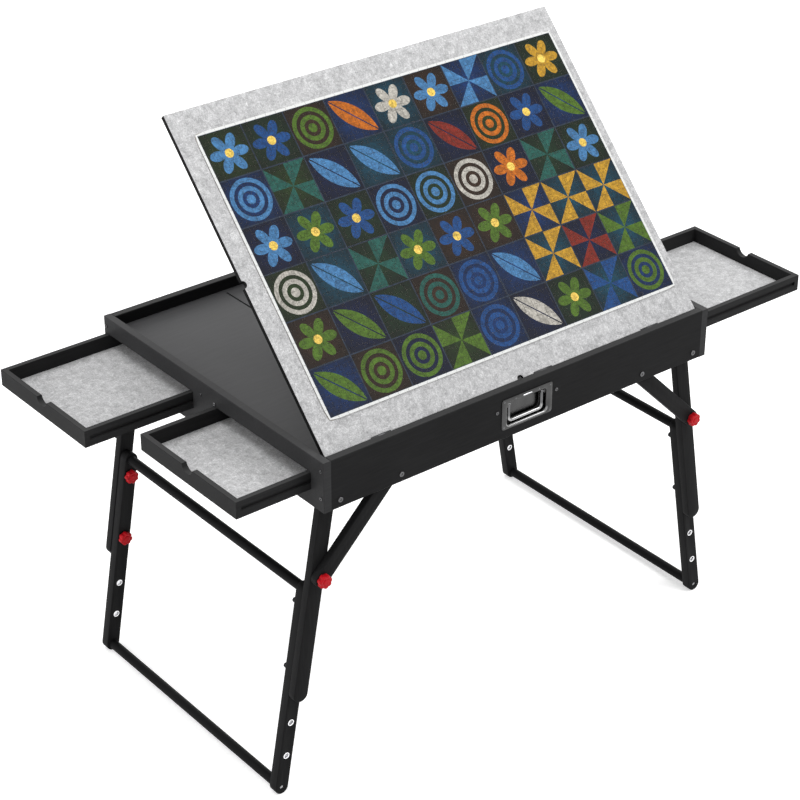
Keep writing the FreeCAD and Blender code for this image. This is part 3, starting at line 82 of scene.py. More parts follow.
PULL_Z = CASE_Z + BOX_HEIGHT / 2
PUZZLE_X, PUZZLE_Y, PUZZLE_WIDE, PUZZLE_DEEP = -379.0, 50.0, 776.0, 521.0
PUZZLE_THICK, PUZZLE_CORNER = 1.8, 8.0
MIDDLE_X, MIDDLE_Y = PUZZLE_X + PUZZLE_WIDE / 2, PUZZLE_Y + PUZZLE_DEEP / 2
PICTURE_EDGE, CELL, CELLS_ACROSS, CELLS_UP = 5.0, 85.2, 9, 6
PIECES_ACROSS, PIECES_UP, PIECES_SEED = 38, 26, 12
CARD_THICK, SEAM, SEAM_TOP, SEAM_DEPTH = 0.5, 0.16, 0.4, 0.2

# ---------- degrees between smooth faces
SMOOTH, SMOOTH_KNOB, SMOOTH_JIGSAW, SMOOTH_FELT = 35, 40, 30, 50

# ---------- studio, in metres
CAMERA_SPOT = (-2.2917, -2.816, 2.5321)
CAMERA_BEARING, CAMERA_PITCH = math.radians(38.564), math.radians(29.613)
SENSOR, LENS = 36.0, 102.68
FLOOR_REACH, FLOOR_DROP, FLOOR_GLOW, SKY_LIGHT = 30.0, 0.0004, 0.5, 0.55
LAMP_AIM = (0, 0, 0.6)
LAMPS = [("key", (1.6, -2.6, 3.4), 2.2, 75), ("top", (-0.6, 0.6, 3.6), 2.6, 50),
         ("rim", (1.95, 2.45, 2.4), 2.6, 28), ("fill", (-2.6, 0.2, 1.3), 2.0, 20)]


def at(x, y, z):
    """A move by millimetres."""
    return Matrix.Translation(Vector((x, y, z)) * MM)


def turn(degrees, axis):
    return Matrix.Rotation(math.radians(degrees), 4, axis)


def add_object(name, data):
    thing = bpy.data.objects.new(name, data)
    bpy.context.scene.collection.objects.link(thing)
    return thing


# ---------- mesh helpers
class Shape:
    """Collects closed forms in millimetres and makes one object of them."""

    def __init__(self):
        self.verts, self.faces, self.slots = [], [], []
        self.slot = 0

    def add_faces(self, points, faces, matrix=None):
        first = len(self.verts)
        for point in points:
            spot = Vector(point)
            self.verts.append(matrix @ (spot * MM) if matrix else spot * MM)
        for face in faces:
            self.faces.append([first + number for number in face])
            self.slots.append(self.slot)

    def loft(self, rings, matrix=None, caps=(True, True), loop=False):
        """Quads from ring to ring of equally many points, and a cap at either end."""
        count = len(rings[0])
        points = [point for ring in rings for point in ring]
        faces = []
        steps = len(rings) if loop else len(rings) - 1
        for step in range(steps):
            here, there = step * count, (step + 1) % len(rings) * count
            for number in range(count):
                after = (number + 1) % count
                faces.append((here + number, here + after, there + after, there + number))
        if caps[0]:
            faces.append(tuple(reversed(range(count))))
        if caps[1]:
            faces.append(tuple(range(len(points) - count, len(points))))
        self.add_faces(points, faces, matrix)

    def lathe(self, profile, matrix=None, segments=32, loop=False):
        """Turn (radius, height) steps about the Z axis; a loop is a sleeve with a bore."""
        rings = [[(radius * math.cos(a), radius * math.sin(a), height)
                  for a in angles(segments)] for radius, height in profile]
        self.loft(rings, matrix, (not loop, not loop), loop)

    def plate(self, loops, low, high, round_low, round_high, matrix=None, steps=3):
        """A flat plate of an outline and its holes between two heights, with rounded rims."""
        levels = [(round_low * (1 - math.sin(a)), low + round_low * (1 - math.cos(a)))
                  for a in quarter(steps)] if round_low else [(0, low)]
        levels += [(round_high * (1 - math.cos(a)), high - round_high * (1 - math.sin(a)))
                   for a in quarter(steps)] if round_high else [(0, high)]
        mesh = bmesh.new()
        ends = {0: [], len(levels) - 1: []}
        for outline in loops:
            rings = []
            for inset, height in levels:
                rings.append([mesh.verts.new((x, y, height))
                              for x, y in offset(outline, inset)])
            count = len(outline)
            for below, above in zip(rings, rings[1:]):
                for number in range(count):
                    after = (number + 1) % count
                    mesh.faces.new((below[number], below[after], above[after], above[number]))
            for level, edges in ends.items():
                ring = rings[level]
                for number in range(count):
                    pair = ring[number], ring[(number + 1) % count]
                    edges.append(mesh.edges.get(pair) or mesh.edges.new(pair))
        for edges in ends.values():
            bmesh.ops.triangle_fill(mesh, edges=edges, use_beauty=True)
        bmesh.ops.recalc_face_normals(mesh, faces=mesh.faces[:])
        mesh.verts.index_update()
        points = [tuple(vert.co) for vert in mesh.verts]
        self.add_faces(points, [[v.index for v in face.verts] for face in mesh.faces], matrix)
        mesh.free()

    def make(self, name, body, materials, matrix=None, stands_for=(), slot=None, smooth=SMOOTH):
        """One object of all the forms, which rides a body and may replace CAD nodes."""
        data = bpy.data.meshes.new(name)
        data.from_pydata([tuple(vert) for vert in self.verts], [], self.faces)
        for material in materials:
            data.materials.append(material)
        data.polygons.foreach_set("material_index", self.slots)
        mesh = bmesh.new()
        mesh.from_mesh(data)
        bmesh.ops.recalc_face_normals(mesh, faces=mesh.faces[:])
        mesh.to_mesh(data)
        mesh.free()
        soften_shading(data, smooth)
        thing = add_object(name, data)
        if matrix is not None:
            thing.matrix_world = matrix
        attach(thing, body)
        if stands_for:
            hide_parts(*stands_for)
        return thing


def soften_shading(data, degrees):
    """Smooth shading, with edges kept sharp from an angle on."""
    data.polygons.foreach_set("use_smooth", [True] * len(data.polygons))
    data.set_sharp_from_angle(angle=math.radians(degrees))


def angles(count):
    return [2 * math.pi * number / count for number in range(count)]


def quarter(steps):
    """Angles from nothing to a right angle."""
    return [math.pi / 2 * number / steps for number in range(steps + 1)]


def circle(x, y, radius, segments=28, hole=True):
    """A circle in a plate: clockwise for a hole, else anticlockwise."""
    ring = [(x + radius * math.cos(a), y + radius * math.sin(a)) for a in angles(segments)]
    return ring[::-1] if hole else ring


def offset(outline, inset):
    """Move each corner of a loop into the material, which lies to the left of its edges."""
    if not inset:
        return outline
    moved = []
    for number, (x, y) in enumerate(outline):
        before = Vector(outline[number - 1])
        after = Vector(outline[(number + 1) % len(outline)])
        here = Vector((x, y))
        first, second = (here - before).normalized(), (after - here).normalized()
        normal = Vector((-first.y - second.y, first.x + second.x))
        normal.normalize()
        share = max(0.35, normal.dot(Vector((-first.y, first.x))))
        moved.append(tuple(here + normal * inset / share))
    return moved


def bar_outline(high, low, radius, segments=14):
    """Half-round ends about two centres on the Y axis, anticlockwise."""
    ring = []
    for centre, start in ((high, 0), (low, math.pi)):
        for step in range(segments + 1):
            a = start + math.pi * step / segments
            ring.append((radius * math.cos(a), centre + radius * math.sin(a)))
    return ring


def rounded(width, height, corner, middle=0.0, segments=6):
    """A rounded rectangle, anticlockwise."""
    ring = []
    for quad, (sx, sy) in enumerate(((1, 1), (-1, 1), (-1, -1), (1, -1))):
        for step in range(segments + 1):
            a = math.pi / 2 * (quad + step / segments)
            ring.append((sx * (width / 2 - corner) + corner * math.cos(a),
                         middle + sy * (height / 2 - corner) + corner * math.sin(a)))
    return ring


# ---------- shader helpers
class Shade:
    """A Principled material and the nodes that feed it."""

    def __init__(self, name, color=(0.5, 0.5, 0.5), **sockets):
        self.material = bpy.data.materials.new(name)
        self.material.use_nodes = True
        self.tree = self.material.node_tree
        self.shader = self.tree.nodes["Principled BSDF"]
        self.set(self.shader, "Base Color", (*color, 1))
        for socket, value in sockets.items():
            self.set(self.shader, socket.replace("_", " ").title().replace("Ior", "IOR"), value)
        self.material.diffuse_color = (*color, 1)

    def set(self, node, socket, value):
        if isinstance(value, bpy.types.NodeSocket):
            self.tree.links.new(value, node.inputs[socket])
        else:
            node.inputs[socket].default_value = value

    def add(self, kind, output=0, inputs=None, **settings):
        node = self.tree.nodes.new("ShaderNode" + kind)
        for name, value in settings.items():
            setattr(node, name, value)
        for socket, value in (inputs or {}).items():
            self.set(node, socket, value)
        return node.outputs[output]

    def split(self, vector):
        """The X, Y and Z outputs of a vector."""
        node = self.tree.nodes.new("ShaderNodeSeparateXYZ")
        self.set(node, "Vector", vector)
        return node.outputs

    def place(self, scale=(1, 1, 1)):
        spot = self.add("TexCoord", "Object")
        return self.add("Mapping", inputs={"Vector": spot, "Scale": scale})

    def noise(self, scale, detail=3, rough=0.5, stretch=(1, 1, 1), distort=0.0):
        return self.add("TexNoise", "Fac", {
            "Vector": self.place(stretch), "Scale": scale, "Detail": detail,
            "Roughness": rough, "Distortion": distort})

    def ramp(self, value, *stops, mode="LINEAR"):
        node = self.tree.nodes.new("ShaderNodeValToRGB")
        band = node.color_ramp
        band.interpolation = mode
        while len(band.elements) < len(stops):
            band.elements.new(1)
        for element, (position, color) in zip(band.elements, stops):
            element.position = position
            element.color = (*color, 1) if isinstance(color, tuple) else (color,) * 3 + (1,)
        self.set(node, "Fac", value)
        return node.outputs["Color"]

    def span(self, value, low, high):
        return self.add("MapRange", inputs={"Value": value, "To Min": low, "To Max": high})

    def math(self, operation, first, second=0.0, third=0.0):
        return self.add("Math", inputs={0: first, 1: second, 2: third}, operation=operation)

    def mix(self, share, first, second, blend="MIX"):
        node = self.tree.nodes.new("ShaderNodeMix")
        node.data_type, node.blend_type = "RGBA", blend
        self.set(node, 0, share)
        for socket, value in ((6, first), (7, second)):
            self.set(node, socket, (*value, 1) if isinstance(value, tuple) else value)
        return node.outputs[2]

    def bump(self, height, strength, distance, normal=None):
        inputs = {"Height": height, "Strength": strength, "Distance": distance}
        if normal is not None:
            inputs["Normal"] = normal
        return self.add("Bump", inputs=inputs)

    def finish(self, color=None, roughness=None, normal=None):
        for socket, value in (("Base Color", color), ("Roughness", roughness), ("Normal", normal)):
            if value is not None:
                self.set(self.shader, socket, value)
        return self.material


def painted_wood(name, dark, light, rough, along=(1, 14, 14), specular=0.04, top_highlight=0.0):
    """Black satin lacquer over fine-grained board: faint streaks, pores, and a painted highlight on
    faces that look up.
    """
    shade = Shade(name, light, specular_ior_level=specular)
    grain = shade.noise(18, 4, 0.55, along, 0.4)
    cloud = shade.noise(5, 3)
    speck = shade.noise(900, 2, 0.6)
    tone = shade.math("MULTIPLY_ADD", cloud, 0.5, shade.math("MULTIPLY", grain, 0.5))
    color = shade.ramp(tone, (0.35, dark), (0.65, light))
    # Painted highlight: faces that look up are painted lighter, standing in for the light they
    # catch from above.
    if top_highlight:
        facing = shade.split(shade.add("TexCoord", "Normal"))
        painted_top_highlight = shade.ramp(facing["Z"], (0.6, 0.0), (0.9, top_highlight))
        color = shade.mix(1.0, color, painted_top_highlight, "ADD")
    roughness = shade.span(shade.math("ADD", grain, speck), rough - 0.09, rough + 0.09)
    fine = shade.bump(speck, 0.12, 0.0002)
    return shade.finish(color, roughness, shade.bump(grain, 0.1, 0.0006, fine))


def metal(name, dark, light, rough, brushed=(1, 1, 1), bumps=0.05, painted_highlight=None):
    """Plated metal, with an optional painted highlight: a lighter colour and the heights between
    which it fades in.
    """
    shade = Shade(name, light, metallic=1.0)
    streak = shade.noise(140, 3, 0.6, brushed)
    cloud = shade.noise(30, 2)
    color = shade.ramp(cloud, (0.3, dark), (0.7, light))
    # Painted highlight: below the given heights the metal is painted lighter, standing in for the
    # light it catches there.
    if painted_highlight:
        highlight_color, start, end = painted_highlight
        height = shade.split(shade.add("TexCoord", "Object"))["Z"]
        share = shade.add("MapRange", inputs={"Value": height, "From Min": start * MM,
                                              "From Max": end * MM})
        color = shade.mix(share, color, highlight_color)
    roughness = shade.span(streak, rough - 0.06, rough + 0.08)
    return shade.finish(color, roughness, shade.bump(streak, bumps, 0.0002))


def felt_material():
    """Pressed felt: pale fibres over a mottled grey ground, with a soft nap."""
    shade = Shade("grey_felt", (0.5, 0.5, 0.52), sheen_weight=0.25, sheen_roughness=0.6,
                  specular_ior_level=0.15, roughness=0.96)
    cloud = shade.noise(60, 5, 0.62, distort=0.6)
    patch = shade.noise(240, 4, 0.7, distort=1.4)
    first = shade.noise(620, 3, 0.6, (1, 0.25, 1), 1.2)
    second = shade.noise(620, 3, 0.6, (0.25, 1, 1), 1.6)
    fibre = shade.math("MAXIMUM", first, second)
    mottle = shade.math("MULTIPLY_ADD", patch, 0.55, shade.math("MULTIPLY", cloud, 0.45))
    ground = shade.ramp(mottle, (0.36, (0.36, 0.36, 0.365)), (0.5, (0.57, 0.57, 0.578)),
                        (0.64, (0.76, 0.76, 0.765)))
    lint = shade.ramp(fibre, (0.5, 0.72), (0.62, 1.0), (0.74, 1.22))
    color = shade.mix(1.0, ground, lint, "MULTIPLY")
    nap = shade.bump(fibre, 0.55, 0.0006)
    return shade.finish(color, None, shade.bump(patch, 0.35, 0.0009, nap))


def red_plastic():
    shade = Shade("red_knob_plastic", (0.46, 0.006, 0.012), specular_ior_level=0.12)
    cloud, speck = shade.noise(60, 3), shade.noise(1500, 2)
    color = shade.ramp(cloud, (0.3, (0.4, 0.005, 0.01)), (0.7, (0.52, 0.008, 0.015)))
    return shade.finish(color, shade.span(speck, 0.3, 0.42), shade.bump(speck, 0.15, 0.0001))


def board_edge_paper():
    shade = Shade("greyboard", (0.35, 0.33, 0.3), roughness=0.9, specular_ior_level=0.2)
    speck = shade.noise(700, 4, 0.7)
    color = shade.ramp(speck, (0.35, (0.27, 0.25, 0.225)), (0.65, (0.43, 0.4, 0.365)))
    return shade.finish(color, None, shade.bump(speck, 0.3, 0.0002))


def quilt_picture():
    """A printed patchwork of rings, leaves, pinwheels and blossoms inside a white border."""
    shade = Shade("jigsaw_print", (0.1, 0.15, 0.2), specular_ior_level=0.15)
    m = shade.math
    spot = shade.add("TexCoord", "Object")
    axes = shade.split(spot)
    start_x, start_y = MIDDLE_X - CELLS_ACROSS / 2 * CELL, MIDDLE_Y - CELLS_UP / 2 * CELL
    u = m("DIVIDE", m("SUBTRACT", axes[0], start_x * MM), CELL * MM)
    v = m("DIVIDE", m("SUBTRACT", axes[1], start_y * MM), CELL * MM)
    column, row = m("FLOOR", u), m("FLOOR", v)
    p, q = m("SUBTRACT", m("FRACT", u), 0.5), m("SUBTRACT", m("FRACT", v), 0.5)
    block = shade.add("CombineXYZ", inputs={0: column, 1: row})

    def chance(seed):
        """A chance from 0 to 1 that is the same all over a block."""
        shifted = shade.add("VectorMath", inputs={0: block, 1: (seed, seed * 1.7, 0)},
                            operation="ADD")
        return shade.add("TexWhiteNoise", "Value", {"Vector": shifted}, noise_dimensions="3D")

    def distance(a, b):
        return m("SQRT", m("ADD", m("MULTIPLY", a, a), m("MULTIPLY", b, b)))

    far = distance(p, q)
    disc = m("LESS_THAN", far, 0.45)
    rings = m("MULTIPLY", disc, m("LESS_THAN", m("FRACT", m("MULTIPLY", far, 5.6)), 0.55))
    one = distance(m("ADD", p, 0.5), m("ADD", q, 0.5))
    two = distance(m("ADD", p, -0.5), m("ADD", q, -0.5))
    leaf = m("MULTIPLY", m("LESS_THAN", one, 0.93), m("LESS_THAN", two, 0.93))
    vein = m("GREATER_THAN", m("ABSOLUTE", m("ADD", p, q)), 0.018)
    leaf = m("MULTIPLY", leaf, vein)
    steep = m("GREATER_THAN", m("ABSOLUTE", p), m("ABSOLUTE", q))
    same = m("GREATER_THAN", m("MULTIPLY", p, q), 0.0)
    pinwheel = m("ABSOLUTE", m("SUBTRACT", steep, same))
    bearing = m("ARCTAN2", q, p)
    petal = m("ABSOLUTE", m("COSINE", m("MULTIPLY", bearing, 3.0)))
    blossom = m("LESS_THAN", far, m("MULTIPLY_ADD", petal, 0.27, 0.17))
    heart = m("LESS_THAN", far, 0.095)

    kind_seed, ground_seed, ink_seed = 3.3, 7.1, 11.9
    kind = m("FLOOR", m("MULTIPLY", chance(kind_seed), 3.999))

    def is_kind(number):
        return m("COMPARE", kind, float(number), 0.5)

    motif = m("ADD", m("ADD", m("MULTIPLY", is_kind(0), rings), m("MULTIPLY", is_kind(1), leaf)),
              m("ADD", m("MULTIPLY", is_kind(2), pinwheel), m("MULTIPLY", is_kind(3), blossom)))
    heart = m("MULTIPLY", heart, is_kind(3))

    ground = shade.ramp(chance(ground_seed),
                        (0.0, (0.001, 0.004, 0.022)), (0.2, (0.003, 0.012, 0.004)),
                        (0.38, (0.002, 0.014, 0.058)), (0.56, (0.007, 0.016, 0.003)),
                        (0.72, (0.002, 0.026, 0.044)), (0.88, (0.016, 0.007, 0.003)),
                        mode="CONSTANT")
    ink = shade.ramp(chance(ink_seed),
                     (0.0, (0.42, 0.23, 0.02)), (0.12, (0.05, 0.16, 0.33)),
                     (0.3, (0.06, 0.12, 0.012)), (0.48, (0.42, 0.11, 0.008)),
                     (0.56, (0.008, 0.05, 0.17)), (0.74, (0.4, 0.38, 0.34)),
                     (0.84, (0.16, 0.015, 0.008)), (0.91, (0.012, 0.075, 0.06)), mode="CONSTANT")
    glow = shade.ramp(far, (0.0, 1.9), (0.35, 1.0), (0.7, 0.3))
    color = shade.mix(motif, shade.mix(1.0, ground, glow, "MULTIPLY"), ink)
    color = shade.mix(heart, color, (0.75, 0.52, 0.1))
    seam = m("GREATER_THAN", m("MAXIMUM", m("ABSOLUTE", p), m("ABSOLUTE", q)), 0.487)
    color = shade.mix(seam, color, (0.02, 0.03, 0.05))
    brush = shade.noise(70, 6, 0.7, distort=1.8)
    strokes = shade.ramp(brush, (0.3, 0.5), (0.5, 1.0), (0.72, 1.6))
    color = shade.mix(1.0, color, strokes, "MULTIPLY")
    dabs = shade.add("TexVoronoi", "Distance", {"Vector": spot, "Scale": 260.0})
    color = shade.mix(1.0, color, shade.ramp(dabs, (0.0, 1.22), (0.6, 0.88)), "MULTIPLY")
    half_x, half_y = PUZZLE_WIDE / 2 - PICTURE_EDGE, PUZZLE_DEEP / 2 - PICTURE_EDGE
    off_x = m("ABSOLUTE", m("SUBTRACT", axes[0], MIDDLE_X * MM))
    off_y = m("ABSOLUTE", m("SUBTRACT", axes[1], MIDDLE_Y * MM))
    border = m("MAXIMUM", m("GREATER_THAN", off_x, half_x * MM),
               m("GREATER_THAN", off_y, half_y * MM))
    color = shade.mix(border, color, (0.7, 0.71, 0.7))
    linen = shade.noise(1200, 2)
    return shade.finish(color, shade.span(linen, 0.46, 0.56), shade.bump(linen, 0.08, 0.0001))


# ---------- materials
# The amounts given last paint a highlight on the faces of these blacks that look up.
BLACK_WALL = painted_wood("black_case", (0.01, 0.01, 0.0104), (0.016, 0.016, 0.0166), 0.42,
                          top_highlight=0.026)
BLACK_LEG = painted_wood("black_leg", (0.009, 0.009, 0.0093), (0.015, 0.015, 0.0156), 0.4,
                         (14, 14, 1))
# Painted light: the end walls take the case's black painted lighter, standing in for the extra
# light that falls on them from the left.
LIT_BLACK_END = painted_wood("black_end_wall_painted_lighter", (0.03, 0.03, 0.031), (0.042, 0.042, 0.0432), 0.42,
                         top_highlight=0.02)
BLACK_DRAWER = painted_wood("black_drawer", (0.015, 0.015, 0.0155), (0.022, 0.022, 0.0226), 0.42,
                            top_highlight=0.018)
TRAY = painted_wood("tray_board", (0.056, 0.056, 0.058), (0.07, 0.07, 0.0722), 0.36,
                    (1, 10, 10), 0.08)
BOARD = painted_wood("black_board", (0.004, 0.004, 0.0042), (0.007, 0.007, 0.0073), 0.45)
BAR = painted_wood("black_bar", (0.007, 0.007, 0.0073), (0.011, 0.011, 0.0115), 0.38, (14, 1, 14))
FELT_GREY = felt_material()
RED = red_plastic()
STEEL = metal("bright_steel", (0.5, 0.5, 0.51), (0.68, 0.68, 0.7), 0.24)
BRIGHT = metal("polished_bushing", (0.8, 0.8, 0.81), (0.9, 0.9, 0.91), 0.16, bumps=0.02)
DULL = metal("dulled_steel", (0.08, 0.08, 0.082), (0.13, 0.13, 0.134), 0.22)
# The bail's lower bar is painted lighter than its arms, a painted highlight on the grip.
CHROME = metal("dark_bail", (0.09, 0.09, 0.092), (0.13, 0.13, 0.132), 0.11, (1, 8, 8), 0.02,
               ((0.34, 0.34, 0.34), -21, -27))
# The lip's lower part is painted lighter, a painted highlight along the bottom of the dish opening.
LIP = metal("rolled_lip", (0.05, 0.05, 0.05), (0.07, 0.07, 0.07), 0.12, bumps=0.01,
            painted_highlight=((0.26, 0.26, 0.26), PULL_Z - 15, PULL_Z - 21))
GUNMETAL = metal("gunmetal_plate", (0.045, 0.045, 0.045), (0.065, 0.065, 0.065), 0.24, (1, 1, 6))
ZINC = metal("dark_hinge", (0.05, 0.05, 0.052), (0.08, 0.08, 0.083), 0.38)
BLACK_METAL = metal("black_prop", (0.02, 0.02, 0.021), (0.035, 0.035, 0.037), 0.4)
CARD = board_edge_paper()
PRINT = quilt_picture()

# Starts of node names, their material and the width of their broken edges.
NODE_FINISH = [
    (("end_panel",), LIT_BLACK_END, 0.5),
    (("front_panel", "back_panel"), BLACK_WALL, 0.5),
    (("cross_beam", "drawer_rail", "divider"), BLACK_WALL, 0.4),
    (("tray_floor",), TRAY, 0.3),
    (("drawer_left", "drawer_right"), BLACK_DRAWER, 0.5),
    (("upper_crossbar", "lower_crossbar"), BAR, 0.8),
    (("hinge_",), ZINC, 0.12),
    (("prop_",), BLACK_METAL, 0.3),
]


def dress_nodes():
    """Carried-over CAD nodes: smooth shading, a finish and slightly broken edges."""
    for name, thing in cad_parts.items():
        for starts, material, edge in NODE_FINISH:
            if name.startswith(starts):
                thing.data.materials.clear()
                thing.data.materials.append(material)
                soften_shading(thing.data, SMOOTH)
                bevel = thing.modifiers.new("broken_edges", "BEVEL")
                bevel.width, bevel.segments = edge * MM, 2
                bevel.limit_method, bevel.angle_limit = "ANGLE", math.radians(50)
                bevel.harden_normals = True


# ---------- legs, braces, knobs
def name_of(side, end):
    return f"{SIDES[side]}_{ENDS[end]}"


def leg_matrix(side, end, layer, depth):
    """Leg frame with the slab's own X across, Y up the leg and Z through its thickness."""
    x = CASE_X + side * (HALF_LENGTH - PIVOT_INSET)
    y = end * (HALF_WIDTH - layer - depth / 2)
    lean = Matrix.Rotation(-side * SPLAY, 4, "Y")
    return at(x, y, PIVOT_Z) @ lean @ turn(90, "X")


def make_leg(side, end):
    """An upper leg, and a lower one with its bar screws' counterbores and two bushings."""
    tail = name_of(side, end)
    upper = Shape()
    radius = LEG_WIDTH / 2
    loops = [bar_outline(0, radius - UPPER_REACH, radius), circle(0, 0, PIVOT_BORE)]
    seat = leg_matrix(side, end, UPPER_LAYER, LEG_DEPTH)
    upper.plate(loops, -LEG_DEPTH / 2, LEG_DEPTH / 2, WOOD_ROUND, WOOD_ROUND, seat)
    upper.make(f"leg_upper_{tail}", f"{SIDES[side]}_leg_frame", [BLACK_LEG], None,
               [f"upper_leg_{tail}"], "upper_legs")
    lower, sleeves = Shape(), Shape()
    seat = leg_matrix(side, end, LOWER_LAYER, LOWER_DEPTH)
    loops = [bar_outline(-LOWER_START, -FOOT_ALONG, LOWER_WIDTH / 2)]
    for along in (KNOB_HIGH, KNOB_LOW):
        loops.append(circle(0, -along, HOLE_RADIUS))
    for along in (HOLE_HIGH, HOLE_LOW):
        loops.append(circle(0, -along, BUSHING_RADIUS))
        add_sleeve(sleeves, seat @ at(0, -along, 0), LOWER_DEPTH / 2 + BUSHING_RISE)
    for along in (LOWER_START, FOOT_ALONG):
        loops.append(circle(0, -along, HEAD_RADIUS))
        filled = [(HEAD_RADIUS, end * LOWER_DEPTH / 2),
                  (HEAD_RADIUS, -end * (LOWER_DEPTH / 2 - HEAD_DEPTH))]
        lower.lathe(filled, seat @ at(0, -along, 0), 28)
    lower.plate(loops, -LOWER_DEPTH / 2, LOWER_DEPTH / 2, WOOD_ROUND, WOOD_ROUND, seat)
    lower.make(f"leg_lower_{tail}", f"{SIDES[side]}_lower_frame", [BLACK_LEG], None,
               [f"lower_leg_{tail}"], "lower_legs")
    sleeves.make(f"bushings_{tail}", f"{SIDES[side]}_lower_frame", [BRIGHT], None, (), "screws")


def add_sleeve(shape, matrix, half):
    """A bushing through a spare hole, with its mouths rolled over."""
    outer, bore, soft = BUSHING_RADIUS - 0.05, BUSHING_BORE, 0.5
    profile = [(bore, -half + soft), (bore + 0.15, -half + 0.15), (bore + soft, -half),
               (outer - soft, -half), (outer - 0.12, -half + 0.12), (outer, -half + soft)]
    mirrored = [(radius, -height) for radius, height in reversed(profile)]
    shape.lathe(profile + mirrored, matrix, 32, loop=True)


LEG_HOLD_X = PIVOT_INSET - BRACE_HOLD * math.sin(SPLAY)
LEG_HOLD_Z = PIVOT_Z - BRACE_HOLD * math.cos(SPLAY)
BRACE_LENGTH = math.hypot(BRACE_INSET - LEG_HOLD_X, PIVOT_Z - LEG_HOLD_Z)
BRACE_LEAN = math.atan2(BRACE_INSET - LEG_HOLD_X, PIVOT_Z - LEG_HOLD_Z)


def make_brace(side, end):
    """A brace from its pivot in the long wall to its knob's stud."""
    tail = name_of(side, end)
    brace = Shape()
    radius = LEG_WIDTH / 2
    loops = [bar_outline(0, -BRACE_LENGTH, radius), circle(0, 0, PIVOT_BORE),
             circle(0, -BRACE_LENGTH, HOLE_RADIUS)]
    x = CASE_X + side * (HALF_LENGTH - BRACE_INSET)
    y = end * (HALF_WIDTH - BRACE_LAYER - BRACE_DEPTH / 2)
    seat = at(x, y, PIVOT_Z) @ Matrix.Rotation(-side * BRACE_LEAN, 4, "Y") @ turn(90, "X")
    brace.plate(loops, -BRACE_DEPTH / 2, BRACE_DEPTH / 2, WOOD_ROUND, WOOD_ROUND, seat)
    brace.make(f"strut_{tail}", f"{tail}_brace", [BLACK_LEG], None,
               [f"brace_{tail}"], "braces")


def lobed_ring(radius, depth, height, segments=84, lobes=LOBES):
    """A ring with hollows of a depth between its lobes."""
    ring = []
    for a in angles(segments):
        dip = 0.5 - 0.5 * math.cos(lobes * a)
        reach = radius - depth * dip ** 1.6
        ring.append((reach * math.cos(a), reach * math.sin(a), height))
    return ring


def knob_shape(reach):
    """A lobed cap along +Z with a dished face and a raised hub, on a threaded stud."""
    rim, top = KNOB_RADIUS, KNOB_THICK
    steps = [(rim - 1.2, 1.2, 0), (rim - 0.3, 1.8, 0.5), (rim, 2.0, 1.4), (rim, 2.0, top - 3.2),
             (rim - 0.35, 1.9, top - 2.0), (rim - 1.2, 1.7, top - 1.1),
             (rim - 2.6, 1.2, top - 0.6), (rim - 4.6, 0.6, top - 0.9),
             (6.4, 0, top - 1.4), (5.9, 0, top - 0.9), (5.4, 0, top - 0.25),
             (4.6, 0, top), (1.5, 0, top)]
    return cap_on_stud([lobed_ring(*step) for step in steps], reach)


def nut_shape(reach):
    """A slender barrel nut along +Z, ribbed for the fingers, on a threaded stud."""
    rim, top = NUT_RADIUS, NUT_LONG
    steps = [(rim - 0.5, 0.0, 0), (rim, 0.0, 0.6), (rim, 0.0, 2.0), (rim - 0.35, 0.0, 2.2),
             (rim - 0.35, 0.0, 2.9), (rim, 0.3, 3.1), (rim, 0.3, top - 2.0),
             (rim - 0.35, 0.15, top - 1.0), (rim - 1.1, 0.0, top - 0.25),
             (rim - 1.7, 0.0, top), (0.6, 0.0, top)]
    return cap_on_stud([lobed_ring(*step, 96, NUT_RIBS) for step in steps], reach)


def cap_on_stud(rings, reach):
    """A cap of rings from its seat up, on a threaded stud down through its leg."""
    shape = Shape()
    shape.loft(rings)
    shape.slot = 1
    crest = HOLE_RADIUS - 0.1
    root = crest - THREAD_DEPTH
    profile = [(root, 0.05)]
    for number in range(int((reach + LAYER) / THREAD_PITCH)):
        low = -number * THREAD_PITCH
        profile += [(root, low - 0.15), (crest, low - 0.65), (crest, low - 0.85),
                    (root, low - 1.35)]
    profile += [(root, -(reach + LAYER) + 0.02)]
    shape.lathe(profile, segments=24)
    return shape


def make_knob(name, side, body, along, base_y, facing, reach, seat_x, seat_z, slim=False):
    """A knob, or a slim nut, whose cap looks along Y and stands a layer off its seat."""
    lift = facing * LAYER
    spin = turn(9 * side + along * 0.13, "Z")
    seat = at(seat_x, base_y + lift, seat_z) @ turn(-90 * facing, "X") @ spin
    form, word, cap, slot = ((nut_shape, "nut", BLACK_METAL, "lock_nuts") if slim
                             else (knob_shape, "grip", RED, "knobs"))
    form(reach).make(name.replace("knob", word), body, [cap, STEEL], seat, [name], slot,
                     SMOOTH_KNOB)


def make_knobs(side, end):
    """The two height locks and the brace knob of one leg."""
    tail = name_of(side, end)
    base = end * (HALF_WIDTH - CROSSBAR_LAYER)
    for level, along in (("high", KNOB_HIGH), ("low", KNOB_LOW)):
        x = CASE_X + side * (HALF_LENGTH - PIVOT_INSET + along * math.sin(SPLAY))
        z = PIVOT_Z - along * math.cos(SPLAY)
        make_knob(f"height_knob_{level}_{tail}", side, f"{tail}_{level}_knob", along, base,
                  -end, LOWER_DEPTH, x, z, slim=end == FRONT)
    x = CASE_X + side * (HALF_LENGTH - LEG_HOLD_X)
    make_knob(f"brace_knob_{tail}", side, f"{tail}_brace_knob", BRACE_HOLD,
              end * (HALF_WIDTH - BRACE_LAYER), end, BRACE_DEPTH, x, LEG_HOLD_Z)


